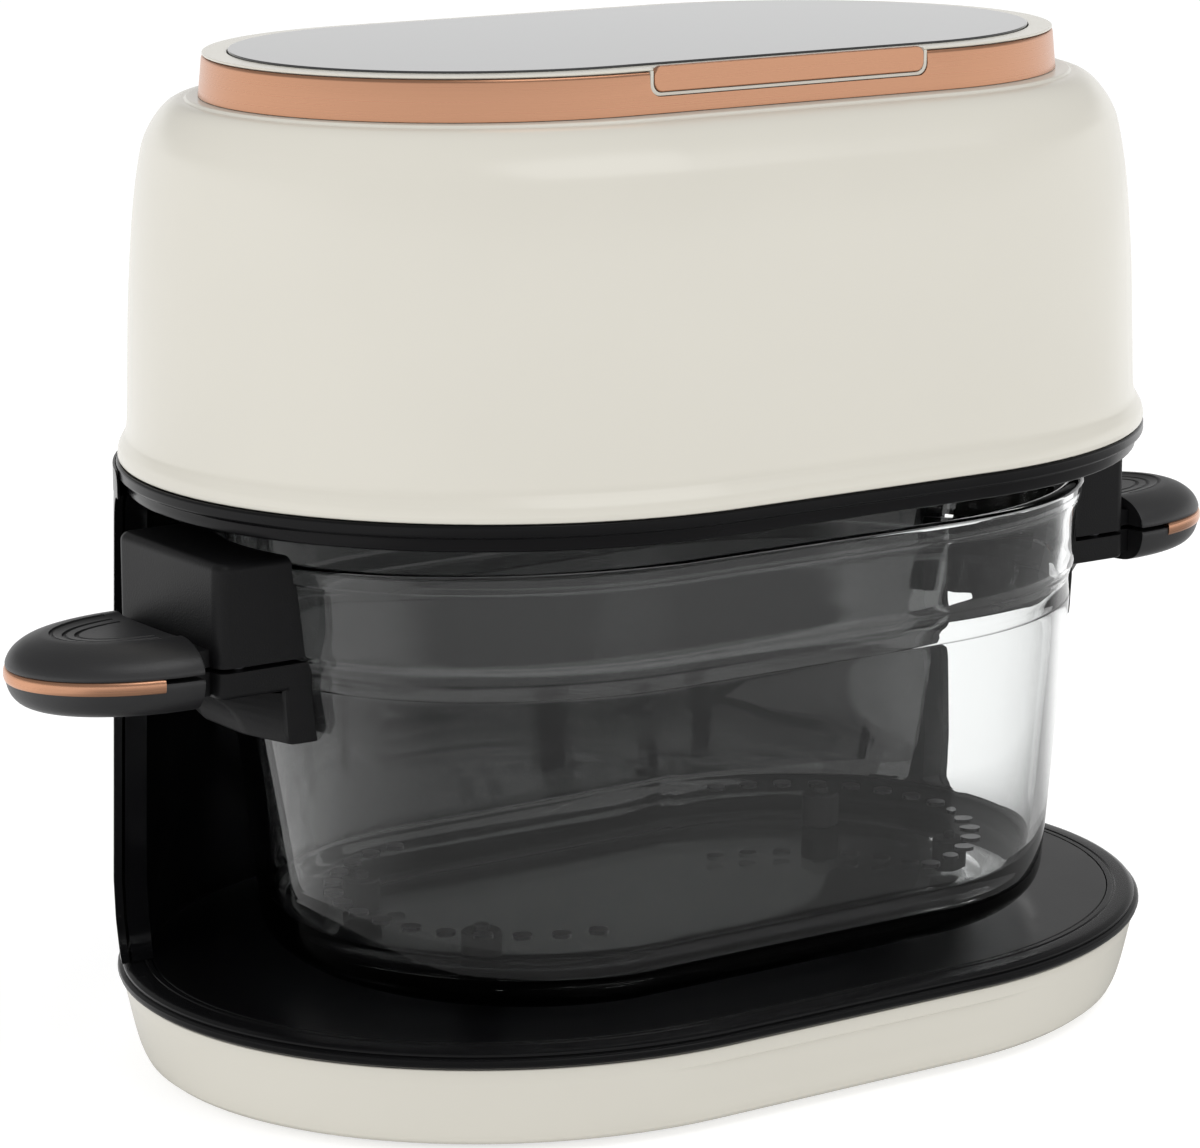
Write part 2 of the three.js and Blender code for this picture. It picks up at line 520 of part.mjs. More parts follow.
const root = handle.bracketX - 9; // where neck and tongue start, inside the bracket
const tongue = prism(roundRect(root, grip.x + 26, handle.y - 15, handle.y + 15, 4), up, up + 3.4);
const neckPlan = (grow) =>
  roundRect(root - grow, neckX + 3 + grow, handle.y - neckHalf - grow, handle.y + neckHalf + grow, 2);
const neckUp = prism(neckPlan(0), up, up + 5);
let bracketUpper = loft([[plan(handle.bracketX), up], [plan(handle.bracketX), handle.top - 2.4],
  [plan(handle.bracketX, 0.7), handle.top - 0.8], [plan(handle.bracketX, 2.4), handle.top]]);
bracketUpper = bracketUpper.add(neckUp).add(tongue).subtract(lugBody(gap));
bracketUpper = bracketUpper.subtract(bowlEnvelope);
bracketUpper = bracketUpper.subtract(prism(bowlRing(bowl.rim, -0.7), bowl.rim - 1.6, 200));

// Below the band the bracket narrows to a heel that leans on the bowl, scooped away outwards.
const heelPlan = (cheek, nose) => [[bowlEnd - 30.2, y0], [cheek, y0], [nose, handle.y - 12.7],
  [nose, handle.y + 12.7], [cheek, y1], [bowlEnd - 30.2, y1]];
const heel = loft([[-23, -17.6, -16], [-22.5, -14.4, -9.3], [-22, -8, -3.8], [-22, -0.6, 0.1],
  [-22, -0.6, 1.1]].map(([cheek, nose, rise]) =>
  [heelPlan(handle.bracketX + cheek, handle.bracketX + nose), handle.bottom + rise]));
let bracketLower = prism(plan(handle.bracketX), handle.bottom, down).add(heel);
bracketLower = bracketLower.add(prism(neckPlan(0), handle.bottom + 0.7, down));
bracketLower = bracketLower.subtract(lugBody(gap)).subtract(bowlEnvelope);

const noseSolid = (levels) =>
  loft(levels.map(([inset, z]) => [nose(grip.x, grip.reach, grip.half, handle.y, inset), z]));
let gripUpper = noseSolid([[0.3, up], [0.2, up + 1.2], [1.2, up + 3.4], [3, up + 5.4],
  [6, grip.top - 1.6], [10, grip.top - 0.3], [13, grip.top]]);
let gripLower = noseSolid([[13, grip.bottom], [8, grip.bottom + 0.5], [4, grip.bottom + 2],
  [1.6, grip.bottom + 4.4], [0.4, grip.bottom + 7.4], [0, down - 1], [0.3, down]]);
const tongueHole = roundRect(root - 10, grip.x + 26 + gap, handle.y - 15 - gap, handle.y + 15 + gap, 4);
gripUpper = gripUpper.subtract(prism(neckPlan(gap), handle.bottom - 0.3, up + 5 + gap))
  .subtract(prism(tongueHole, up - 2, up + 3.4 + gap));
gripLower = gripLower.subtract(prism(neckPlan(gap), handle.bottom + 0.7 - gap, up + 11));

const strip = (grow) => {
  const reach = 74 + grow * 1.2;
  const outer = nose(grip.x, grip.reach, grip.half, handle.y, -0.35 - grow, -reach, reach, 20);
  const inner = nose(grip.x, grip.reach, grip.half, handle.y, 2 + grow, -reach, reach, 20).reverse();
  return prism(outer.concat(inner), handle.seam - 3.4 - grow, handle.seam + 0.8 + grow);
};
gripUpper = gripUpper.subtract(strip(gap));
gripLower = gripLower.subtract(strip(gap));

for (const [label, place] of [['right', (m) => m], ['left', mirrored]]) {
  let upper = bracketUpper;
  let lower = bracketLower;
  let low = gripLower;
  let topGrip = gripUpper;
  for (const [k] of screwYs) {
    const y = handle.y + 24 * k;
    upper = upper.subtract(rod(screwR + gap, screwX - 4, y, handle.bottom - 30, up + 12, 12));
    lower = lower.subtract(rod(screwR + gap, screwX - 4, y, handle.bottom - 30, up + 20, 12));
    lower = lower.subtract(rod(4.2, screwX - 4, y, handle.bottom - 30, headSeat + gap, 14));
  }
  topGrip = topGrip.subtract(rod(screwR + gap, grip.x + 18, handle.y, handle.bottom - 30, up + 6, 12));
  upper = upper.subtract(rod(screwR + gap, grip.x + 18, handle.y, handle.bottom - 30, up + 6, 12));
  low = low.subtract(rod(screwR + gap, grip.x + 18, handle.y, handle.bottom - 30, up + 20, 12));
  low = low.subtract(rod(4.2, grip.x + 18, handle.y, grip.bottom - 9, grip.bottom + 2.6, 14));
  piece(`bracket_upper_${label}`, place(upper), gripBlack);
  piece(`bracket_lower_${label}`, place(lower), gripBlack);
  piece(`grip_upper_${label}`, place(topGrip), gripBlack);
  piece(`grip_lower_${label}`, place(low), gripBlack);
  piece(`grip_inlay_${label}`, place(strip(0)), copper);
  for (const [k, end] of screwYs) {
    const y = handle.y + 24 * k;
    const screw = rod(screwR, screwX - 4, y, headSeat - 1, up + 11, 12)
      .add(rod(3.8, screwX - 4, y, handle.bottom + 0.4, headSeat, 14));
    piece(`bracket_screw_${label}_${end}`, place(screw), darkSteel);
  }
  const gripScrew = rod(screwR, grip.x + 18, handle.y, grip.bottom + 1, up + 5.6, 12)
    .add(rod(3.8, grip.x + 18, handle.y, grip.bottom + 0.2, grip.bottom + 2.3, 14));
  piece(`grip_screw_${label}`, place(gripScrew), darkSteel);
}

export default group;
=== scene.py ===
import math
import bmesh
import bpy
from mathutils import Matrix, Vector


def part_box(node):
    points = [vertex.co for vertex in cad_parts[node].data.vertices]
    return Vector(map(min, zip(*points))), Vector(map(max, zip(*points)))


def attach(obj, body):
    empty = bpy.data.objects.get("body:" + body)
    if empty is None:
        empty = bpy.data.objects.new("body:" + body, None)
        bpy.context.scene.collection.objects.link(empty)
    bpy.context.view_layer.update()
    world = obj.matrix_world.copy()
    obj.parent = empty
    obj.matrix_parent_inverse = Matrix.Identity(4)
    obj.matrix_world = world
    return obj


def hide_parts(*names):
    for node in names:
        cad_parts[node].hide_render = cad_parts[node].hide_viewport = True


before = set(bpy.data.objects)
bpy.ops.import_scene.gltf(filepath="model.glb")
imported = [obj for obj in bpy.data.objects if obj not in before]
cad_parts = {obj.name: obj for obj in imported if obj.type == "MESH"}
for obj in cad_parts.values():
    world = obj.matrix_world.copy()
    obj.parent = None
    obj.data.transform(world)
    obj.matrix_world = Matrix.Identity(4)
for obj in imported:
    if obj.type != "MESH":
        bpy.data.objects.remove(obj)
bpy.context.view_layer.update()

# Shared tools: millimetres to metres, and short ways to add shader nodes and join them up.
MM_PER_M = 1000
scene = bpy.context.scene


def add_node(tree, kind, operation=None, **values):
    """Adds a shader node, with its operation and the values of its named inputs."""
    node = tree.nodes.new("ShaderNode" + kind)
    if operation:
        node.operation = operation
    for label, value in values.items():
        node.inputs[label.replace("_", " ")].default_value = value
    return node


def wire(tree, *sockets):
    """Joins each output to the input named after it."""
    for output, target in zip(sockets[::2], sockets[1::2]):
        tree.links.new(output, target)


# Studio: a pale floor that runs out of sight, a white surround whose reflection darkens above the
# horizon, and three soft boxes, the side ones kept out of reflections. The camera stands to the
# left of the cooker and a little above it.
CAMERA_PLACE = (-0.8075, -1.1399, 0.4503)
CAMERA_AIM = (-0.0154, 0, 0.1421)
LENS_MM = 139.13
SENSOR_MM = 36
ROOM_AS_LIGHT = 0.86
ROOM_MIRRORED_LOW, ROOM_MIRRORED_HIGH = 1.05, 0.32
ROOM_FADE_START, ROOM_FADE_END = 0.13, 0.25
FLOOR_GLOW = 0.62
FLOOR_HALF_SIZE = 6
LEFTWARD = (-0.8, 0.6, 0)
# Where the painted shade that the floor shows in reflections starts to fade, where it has faded, and
# what is left of it: away from the cooker, towards the left, and towards the rear.
FLOOR_FADES = ((1.05, 1.6, 0), (0.16, 0.3, 0.3), (0.02, 0.16, 0))

scene.view_settings.view_transform = "Standard"
camera_data = bpy.data.cameras.new("studio_camera")
camera_data.lens = LENS_MM
camera_data.sensor_fit = "HORIZONTAL"
camera_data.sensor_width = SENSOR_MM
camera = bpy.data.objects.new("studio_camera", camera_data)
camera.location = CAMERA_PLACE
aim = Vector(CAMERA_AIM) - camera.location
camera.rotation_euler = aim.to_track_quat("-Z", "Y").to_euler()
scene.collection.objects.link(camera)
scene.camera = camera

surround = bpy.data.worlds.new("white_surround")
surround.use_nodes = True
room_tree = surround.node_tree
room = room_tree.nodes["Background"]
room.inputs["Color"].default_value = (1, 1, 1, 1)
facing = add_node(room_tree, "TexCoord")
height = add_node(room_tree, "SeparateXYZ")
mirrored_room = add_node(room_tree, "MapRange", From_Min=ROOM_FADE_START, From_Max=ROOM_FADE_END,
                         To_Min=ROOM_MIRRORED_LOW, To_Max=ROOM_MIRRORED_HIGH)
ray = add_node(room_tree, "LightPath")
shine = add_node(room_tree, "Mix", A=ROOM_AS_LIGHT)
direct = add_node(room_tree, "Math", "MAXIMUM")
strength = add_node(room_tree, "Mix", B=1)
wire(room_tree,
     facing.outputs["Generated"], height.inputs["Vector"],
     height.outputs["Z"], mirrored_room.inputs["Value"],
     ray.outputs["Is Glossy Ray"], shine.inputs["Factor"],
     mirrored_room.outputs["Result"], shine.inputs["B"],
     ray.outputs["Is Camera Ray"], direct.inputs[0],
     ray.outputs["Is Transmission Ray"], direct.inputs[1],
     direct.outputs["Value"], strength.inputs["Factor"],
     shine.outputs["Result"], strength.inputs["A"],
     strength.outputs["Result"], room.inputs["Strength"])
scene.world = surround


def soft_box(name, place, target, size, watts, mirrored):
    """A rectangular lamp aimed at a point, which reflections may or may not show."""
    data = bpy.data.lights.new(name, "AREA")
    data.shape = "RECTANGLE"
    data.size, data.size_y = size
    data.energy = watts
    lamp = bpy.data.objects.new(name, data)
    lamp.location = place
    lamp.rotation_euler = (Vector(target) - Vector(place)).to_track_quat("-Z", "Y").to_euler()
    lamp.visible_camera = False
    lamp.visible_glossy = mirrored
    scene.collection.objects.link(lamp)


soft_box("left_soft_box", (-2.3, 0.5, 0.9), (0, 0, 0.18), (2.2, 1.8), 12, False)
soft_box("overhead_soft_box", (0.35, -1.25, 1.95), (0, 0, 0.2), (2.0, 1.0), 11, True)
soft_box("right_soft_box", (2.2, 0.9, 0.9), (0, 0, 0.2), (1.3, 1.4), 5, False)

floor_mesh = bpy.data.meshes.new("pale_floor")
sheet = bmesh.new()
bmesh.ops.create_grid(sheet, x_segments=2, y_segments=2, size=FLOOR_HALF_SIZE)
sheet.to_mesh(floor_mesh)
sheet.free()
floor = bpy.data.objects.new("pale_floor", floor_mesh)
scene.collection.objects.link(floor)
paint = bpy.data.materials.new("pale_floor_paint")
paint.use_nodes = True
paint_tree = paint.node_tree
white_coat = paint_tree.nodes["Principled BSDF"]
white_coat.inputs["Base Color"].default_value = (0.5, 0.5, 0.5, 1)
white_coat.inputs["Roughness"].default_value = 0.9
white_coat.inputs["Specular IOR Level"].default_value = 0
white_coat.inputs["Emission Color"].default_value = (1, 1, 1, 1)
white_coat.inputs["Emission Strength"].default_value = FLOOR_GLOW
# Painted shade: in reflections only, the floor near the cooker shows this grey instead of its white coat.
floor_reflected_shade = add_node(paint_tree, "BsdfDiffuse", Color=(0.36, 0.36, 0.36, 1))
spot = add_node(paint_tree, "TexCoord").outputs["Object"]
distance = add_node(paint_tree, "VectorMath", "LENGTH")
leftward = add_node(paint_tree, "VectorMath", "DOT_PRODUCT")
leftward.inputs[1].default_value = LEFTWARD
rearward = add_node(paint_tree, "SeparateXYZ")
wire(paint_tree, spot, distance.inputs[0], spot, leftward.inputs[0], spot, rearward.inputs["Vector"])
reflected_shade_mask = add_node(paint_tree, "LightPath").outputs["Is Glossy Ray"]
measures = distance.outputs["Value"], leftward.outputs["Value"], rearward.outputs["Y"]
for measure, (start, end, least) in zip(measures, FLOOR_FADES):
    fade = add_node(paint_tree, "MapRange", From_Min=start, From_Max=end, To_Min=1, To_Max=least)
    product = add_node(paint_tree, "Math", "MULTIPLY")
    wire(paint_tree, measure, fade.inputs["Value"], reflected_shade_mask, product.inputs[0],
         fade.outputs["Result"], product.inputs[1])
    reflected_shade_mask = product.outputs["Value"]
blend = add_node(paint_tree, "MixShader")
wire(paint_tree,
     reflected_shade_mask, blend.inputs["Fac"],
     white_coat.outputs["BSDF"], blend.inputs[1],
     floor_reflected_shade.outputs["BSDF"], blend.inputs[2],
     blend.outputs["Shader"], paint_tree.nodes["Material Output"].inputs["Surface"])
floor_mesh.materials.append(paint)

# Base tub: one injection-moulded ABS shell in gloss cream, an oval bowl-shaped skirt that curves
# in to the floor. The deck and its black border are screwed down on top of it.
RING_SIDES = 128
CURVE_STEPS = 4
SHARP_DEGREES = 42
HALF_STRAIGHT = 46


def oval_ring(bm, half_straight, along, across, centre_y, z):
    """One level of an oval with a straight middle, its ends half ellipses."""
    turn = Matrix.Rotation(math.pi / RING_SIDES, 4, "Z")
    made = bmesh.ops.create_circle(bm, segments=RING_SIDES, radius=1, matrix=turn)
    for vert in made["verts"]:
        x, y, _ = vert.co
        vert.co = (math.copysign(half_straight, x) + along * x, centre_y + across * y, z)
    return list({edge for vert in made["verts"] for edge in vert.link_edges})


def eased(levels):
    """The same run of (inset, z) levels with the corners between them smoothed out."""
    ends = [levels[0]] + list(levels) + [levels[-1]]
    smooth = []
    for a, b, c, d in zip(ends, ends[1:], ends[2:], ends[3:]):
        for k in range(CURVE_STEPS):
            t = k / CURVE_STEPS
            smooth.append(tuple(
                0.5 * (2 * q + (r - p) * t + (2 * p - 5 * q + 4 * r - s) * t * t
                       + (3 * q - p - 3 * r + s) * t ** 3)
                for p, q, r, s in zip(a, b, c, d)))
    return smooth + [levels[-1]]


def skin_over(bm, outline, levels, hoop=True):
    """Joins oval levels skin to skin, as a closed hoop or as a solid with a flat top and bottom."""
    rings = [oval_ring(bm, *outline(inset, z), z) for inset, z in levels]
    for lower, upper in zip(rings, rings[1:]):
        bmesh.ops.bridge_loops(bm, edges=lower + upper)
    if hoop:
        bmesh.ops.bridge_loops(bm, edges=rings[-1] + rings[0])
    else:
        bmesh.ops.contextual_create(bm, geom=rings[0])
        bmesh.ops.contextual_create(bm, geom=rings[-1])


def bevel(bm, edges, width, segments, clamp=True):
    """Rounds those edges by that much."""
    bmesh.ops.bevel(bm, geom=list(edges), offset=width, segments=segments, profile=0.5, affect="EDGES",
                    material=-1, clamp_overlap=clamp)


def soften_corners(bm, width, steepest=28, segments=3):
    """Rounds every crease sharper than that many degrees."""
    bmesh.ops.recalc_face_normals(bm, faces=bm.faces)
    creases = [edge for edge in bm.edges
               if len(edge.link_faces) == 2 and edge.calc_face_angle() > math.radians(steepest)]
    bevel(bm, creases, width, segments)


def moulding(bm, name):
    """Turns a shape drawn in millimetres into an object in metres."""
    bmesh.ops.scale(bm, vec=(1 / MM_PER_M,) * 3, verts=bm.verts)
    bmesh.ops.recalc_face_normals(bm, faces=bm.faces)
    mesh = bpy.data.meshes.new(name)
    bm.to_mesh(mesh)
    bm.free()
    made = bpy.data.objects.new(name, mesh)
    scene.collection.objects.link(made)
    return made


def fit(made, body, finish, slot, *nodes):
    """Gives a finished piece its material and fixes it to the part of the cooker it moves with."""
    made.data.materials.clear()
    made.data.materials.append(finish)
    made.data.shade_smooth()
    made.data.set_sharp_from_angle(angle=math.radians(SHARP_DEGREES))
    even = made.modifiers.new("even_shading", "WEIGHTED_NORMAL")
    even.keep_sharp = True
    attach(made, body)
    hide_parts(*nodes)


def shader_group(name, given, result):
    """A shader group with those (label, kind) inputs and outputs, and its two end nodes."""
    group = bpy.data.node_groups.new(name, "ShaderNodeTree")
    for in_out, sockets in (("INPUT", given), ("OUTPUT", result)):
        for label, kind in sockets:
            group.interface.new_socket(name=label, in_out=in_out, socket_type="NodeSocket" + kind)
    return group, group.nodes.new("NodeGroupInput").outputs, group.nodes.new("NodeGroupOutput").inputs


SURFACE = [("Colour", "Color"), ("Roughness", "Float"), ("Height", "Float")]


def moulded_skin():
    """Shader group for a moulded surface: faint cloudiness, uneven gloss and a fine grain."""
    group, given, result = shader_group(
        "moulded_skin", [("Colour", "Color"), ("Cloud", "Float"), ("Gloss", "Float"),
                         ("Unevenness", "Float"), ("Grain scale", "Float")], SURFACE)
    place = add_node(group, "TexCoord").outputs["Object"]
    cloud = add_node(group, "TexNoise", Scale=22, Detail=3)
    grain = add_node(group, "TexNoise", Detail=2)
    centred = add_node(group, "Math", "SUBTRACT")
    centred.inputs[1].default_value = 0.5
    amount = add_node(group, "Math", "MULTIPLY_ADD")
    amount.inputs[2].default_value = 1
    tinted = add_node(group, "VectorMath", "SCALE")
    gloss = add_node(group, "Math", "MULTIPLY_ADD")
    wire(group,
         place, cloud.inputs["Vector"],
         place, grain.inputs["Vector"],
         given["Grain scale"], grain.inputs["Scale"],
         cloud.outputs["Fac"], centred.inputs[0],
         centred.outputs["Value"], amount.inputs[0],
         given["Cloud"], amount.inputs[1],
         given["Colour"], tinted.inputs[0],
         amount.outputs["Value"], tinted.inputs["Scale"],
         tinted.outputs["Vector"], result["Colour"],
         centred.outputs["Value"], gloss.inputs[0],
         given["Unevenness"], gloss.inputs[1],
         given["Gloss"], gloss.inputs[2],
         gloss.outputs["Value"], result["Roughness"],
         grain.outputs["Fac"], result["Height"])
    return group


def finish_with(name, group, given, depth, fixed, bump_strength=1):
    """A material whose colour, gloss and relief come from one of the surface groups."""
    finish = bpy.data.materials.new(name)
    finish.use_nodes = True
    tree = finish.node_tree
    shader = tree.nodes["Principled BSDF"]
    for socket, value in fixed.items():
        shader.inputs[socket.replace("_", " ")].default_value = value
    detail = tree.nodes.new("ShaderNodeGroup")
    detail.node_tree = group
    for label, value in given.items():
        detail.inputs[label].default_value = value
    bump = add_node(tree, "Bump", Distance=depth, Strength=bump_strength)
    wire(tree,
         detail.outputs["Colour"], shader.inputs["Base Color"],
         detail.outputs["Roughness"], shader.inputs["Roughness"],
         detail.outputs["Height"], bump.inputs["Height"],
         bump.outputs["Normal"], shader.inputs["Normal"])
    return finish


moulded_group = moulded_skin()


def moulded(name, colour, roughness, cloud=0.05, uneven=0.08, grain=900, depth=0.00002, bump_strength=1,
            **fixed):
    """A plastic, rubber, glass or coated finish made with the moulded skin group."""
    given = {"Colour": (*colour, 1), "Cloud": cloud, "Gloss": roughness, "Unevenness": uneven,
             "Grain scale": grain}
    return finish_with(name, moulded_group, given, depth, fixed, bump_strength)


cream_gloss = moulded("cream_gloss_plastic", (0.635, 0.612, 0.545), 0.24, cloud=0.03, uneven=0.06,
                      grain=260, depth=0.000006)


def base_oval(inset, z):
    return HALF_STRAIGHT, 125.5 - inset, 114.2 - inset, 0


bm = bmesh.new()
outer_wall = eased([(7.8, 4), (6.2, 7.5), (4.4, 14), (2.75, 21.5)]) + [(2.6, 22.2), (2.5, 22.7)] + eased(
    [(2.4, 23.1), (1.8, 27.3)])
inner_wall = eased([(4.4, 27.3), (5.4, 21), (7, 14), (8.8, 8), (11.6, 6), (16, 4.6)])
skin_over(bm, base_oval, [(12, 2), (9.6, 2.6)] + outer_wall + inner_wall + [(16, 2)])
soften_corners(bm, 0.35)
# The front of the skirt is drawn in a little between the two ends.
for vert in bm.verts:
    if vert.co.y < -60 and 5 < vert.co.z < 22.5:
        reach = min(1, max(0, (74 - abs(vert.co.x)) / 30)) * min(1, (vert.co.z - 5) / 6)
        vert.co.y += 0.75 * reach * reach * (3 - 2 * reach)
fit(moulding(bm, "base_tub"), "housing", cream_gloss, "cream_shell", "base_shell")

# Base border and deck: the gloss black ring with its two fine steps that clips over the tub, and
# the satin black plate inside it that the glass bowl stands on.
black_gloss = moulded("black_gloss_plastic", (0.005, 0.005, 0.0054), 0.24, cloud=0.3, uneven=0.1,
                      grain=420, depth=0.00001, Specular_IOR_Level=0.15)
black_satin = moulded("black_satin_plastic", (0.002, 0.002, 0.0023), 0.31, cloud=0.25, uneven=0.12,
                      grain=1500, depth=0.00002, Specular_IOR_Level=0.28)
bm = bmesh.new()
skin_over(bm, base_oval, [(1.6, 27.6), (0.4, 28.4), (0, 29.4), (0.1, 30.3), (0.6, 30.8), (1.7, 31.0),
                          (1.35, 31.4), (1.5, 32.0), (2.3, 32.6), (3.6, 33), (7.4, 33), (7.7, 32.7),
                          (8.1, 32.7), (8.4, 33), (10, 33), (10, 30.1), (14, 30.1), (14, 27.9),
                          (4.8, 27.6)])
soften_corners(bm, 0.2, steepest=35)
fit(moulding(bm, "base_border"), "housing", black_gloss, "gloss_black", "base_trim")

bm = bmesh.new()
skin_over(bm, base_oval, [(10.3, 30.4), (10.3, 33)], hoop=False)
soften_corners(bm, 0.35)
fit(moulding(bm, "standing_deck"), "housing", black_satin, "satin_black", "deck_plate")

# Feet: four turned rubber pads pushed into round holes of the bottom plate.
rubber_black = moulded("black_rubber", (0.018, 0.018, 0.018), 0.75, cloud=0.3, uneven=0.15, grain=2200,
                       depth=0.00006, Specular_IOR_Level=0.3)


def turned(bm, profile, x, y, steps=40):
    """Spins a run of (radius, z) points round an upright axis at that place."""
    verts = [bm.verts.new((x + radius, y, z)) for radius, z in profile]
    edges = [bm.edges.new(pair) for pair in zip(verts, verts[1:])]
    bmesh.ops.spin(bm, geom=verts + edges, cent=(x, y, 0), axis=(0, 0, 1), angle=math.tau, steps=steps,
                   use_merge=True)
    bmesh.ops.remove_doubles(bm, verts=bm.verts, dist=0.001)


CORNERS = ("front_right", "front_left", "back_right", "back_left")
for corner in CORNERS:
    low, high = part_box("foot_" + corner)
    middle = (low + high) / 2 * MM_PER_M
    bm = bmesh.new()
    turned(bm, [(0, 0.5), (6.6, 0.5), (7.3, 0), (7.9, 0.1), (8.7, 0.7), (9, 1.4), (9, 4.7), (11.5, 4.7),
                (11.5, 6), (0, 6)], middle.x, middle.y)
    fit(moulding(bm, "rubber_pad_" + corner), "housing", rubber_black, "black_rubber", "foot_" + corner)

# Rear cover and lining: the black C-shaped spine is two gloss mouldings, an outer cover and an
# inner wall, snapped together with a fine groove between them down each front edge.
SPINE_FOOT = 33.3
SPINE_FRONT = 46
SPINE_TOP = 176.7
SPINE_STATIONS = [(SPINE_FOOT, 124.7, 113.6), (51.3, 126.5, 114.1), (SPINE_TOP, 123, 113.5)]
black_mirror = moulded("black_mirror_plastic", (0.004, 0.004, 0.0045), 0.14, cloud=0.3, uneven=0.06,
                       grain=300, depth=0.000008, Specular_IOR_Level=0.12)


def spine_oval(inset, z):
    below, above = SPINE_STATIONS[:2] if z < SPINE_STATIONS[1][0] else SPINE_STATIONS[1:]
    t = (z - below[0]) / (above[0] - below[0])
    along = below[1] + (above[1] - below[1]) * t
    across = below[2] + (above[2] - below[2]) * t
    return HALF_STRAIGHT, along - inset, across - inset, 0


def trim_to(bm, point, direction):
    """Saws off everything behind a plane and closes the cut faces."""
    cut = bmesh.ops.bisect_plane(bm, geom=bm.verts[:] + bm.edges[:] + bm.faces[:], plane_co=point,
                                 plane_no=direction, clear_inner=True)
    rim = [item for item in cut["geom_cut"] if isinstance(item, bmesh.types.BMEdge)]
    bmesh.ops.holes_fill(bm, edges=rim, sides=0)


def work_with(made, tool, operation):
    """Cuts a tool's shape out of a piece or joins it on, then takes the tool away."""
    step = made.modifiers.new("work", "BOOLEAN")
    step.object = tool
    step.operation = operation
    step.solver = "EXACT"
    bpy.context.view_layer.update()
    shaped = bpy.data.meshes.new_from_object(made.evaluated_get(bpy.context.evaluated_depsgraph_get()))
    made.modifiers.clear()
    shaped.name = made.name
    spent = [made.data, tool.data]
    made.data = shaped
    bpy.data.objects.remove(tool)
    for old in spent:
        bpy.data.meshes.remove(old)
    return made


def rounded_box(bm, low, high, radius, segments=4, pick=lambda edge: True):
    """A block between two corners, with the picked edges rounded."""
    low, high = Vector(low), Vector(high)
    made = bmesh.ops.create_cube(bm, size=1)
    bmesh.ops.scale(bm, vec=high - low, verts=made["verts"])
    bmesh.ops.translate(bm, vec=(low + high) / 2, verts=made["verts"])
    bevel(bm, {edge for vert in made["verts"] for edge in vert.link_edges if pick(edge)}, radius, segments)


def upright(edge):
    return abs(edge.verts[0].co.z - edge.verts[1].co.z) > 0.5 * edge.calc_length()


def fore_and_aft(edge):
    return abs(edge.verts[0].co.y - edge.verts[1].co.y) > 0.5 * edge.calc_length()


def sideways(edge):
    return abs(edge.verts[0].co.x - edge.verts[1].co.x) > 0.5 * edge.calc_length()


def spine_wall(bm, outer, inner, front, back=None):
    """A bowed wall between two insets of the spine's outline, sawn off in front and perhaps behind."""
    heights = [SPINE_FOOT + (SPINE_TOP - SPINE_FOOT) * k / 12 for k in range(13)]
    skin_over(bm, spine_oval, [(outer, z) for z in heights] + [(inner, z) for z in reversed(heights)])
    trim_to(bm, (0, front, 0), (0, 1, 0))
    if back:
        trim_to(bm, (0, back, 0), (0, -1, 0))


def spine_mouth(name):
    """The rounded opening between the two walls, which leaves a fillet at the head and at the deck."""
    tool = bmesh.new()
    rounded_box(tool, (-220, -160, SPINE_FOOT - 0.4), (220, SPINE_FRONT, SPINE_TOP + 0.4), 9, 8, sideways)
    return moulding(tool, name)


bm = bmesh.new()
spine_wall(bm, 0, 2.5, SPINE_FRONT - 10)
cover = moulding(bm, "rear_cover")
work_with(cover, spine_mouth("cover_mouth"), "DIFFERENCE")


def lap_oval(inset, z):
    return HALF_STRAIGHT, 123 - inset, 114.1 - 0.6 * inset, 0


def lap_brow(edge):
    return all(vert.co.z > 184.3 and vert.co.y < SPINE_FRONT - 8.9 for vert in edge.verts)


lap = bmesh.new()
skin_over(lap, lap_oval, [(0, 176.5), (0, 184.4), (0.75, 184.4), (0.75, 176.5)])
trim_to(lap, (0, SPINE_FRONT - 9, 0), (0, 1, 0))
bevel(lap, filter(lap_brow, lap.edges), 5, 6, clamp=False)
work_with(cover, moulding(lap, "cover_lap"), "UNION")
fit(cover, "housing", black_gloss, "gloss_black", "spine_back_cover")

bm = bmesh.new()
spine_wall(bm, 3.4, 10, SPINE_FRONT - 10, SPINE_FRONT + 3)
lining = moulding(bm, "rear_lining")
work_with(lining, spine_mouth("lining_mouth"), "DIFFERENCE")
wall = bmesh.new()
spine_wall(wall, 7.5, 10, SPINE_FRONT + 2.9)
work_with(lining, moulding(wall, "lining_wall"), "UNION")
fit(lining, "housing", black_mirror, "gloss_black", "spine_inner_panel")

# Lead gland: a rubber bush in the back cover that the mains lead leaves through.
bm = bmesh.new()
turned(bm, [(4, -4.4), (4, 0), (5.2, 0.6), (7.4, 0.6), (8.9, -0.2), (9, -2.4), (9, -2.8), (11.5, -2.8),
            (11.5, -4.4), (4, -4.4)], 0, 0)
gland_low, gland_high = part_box("cord_gland")
gland_middle = (gland_low + gland_high) / 2 * MM_PER_M
bmesh.ops.rotate(bm, verts=bm.verts, cent=(0, 0, 0), matrix=Matrix.Rotation(-math.pi / 2, 3, "X"))
bmesh.ops.translate(bm, verts=bm.verts,
                    vec=(gland_middle.x, gland_high.y * MM_PER_M - 0.6, gland_middle.z))
fit(moulding(bm, "lead_gland"), "housing", rubber_black, "black_rubber", "cord_gland")

# Head border: the gloss black ring under the head, one rounded step with a fine groove, which
# carries the under-tray and takes the top of the spine.


def head_trim_oval(inset, z):
    return HALF_STRAIGHT, 122 - inset, 113.5 - inset, 0


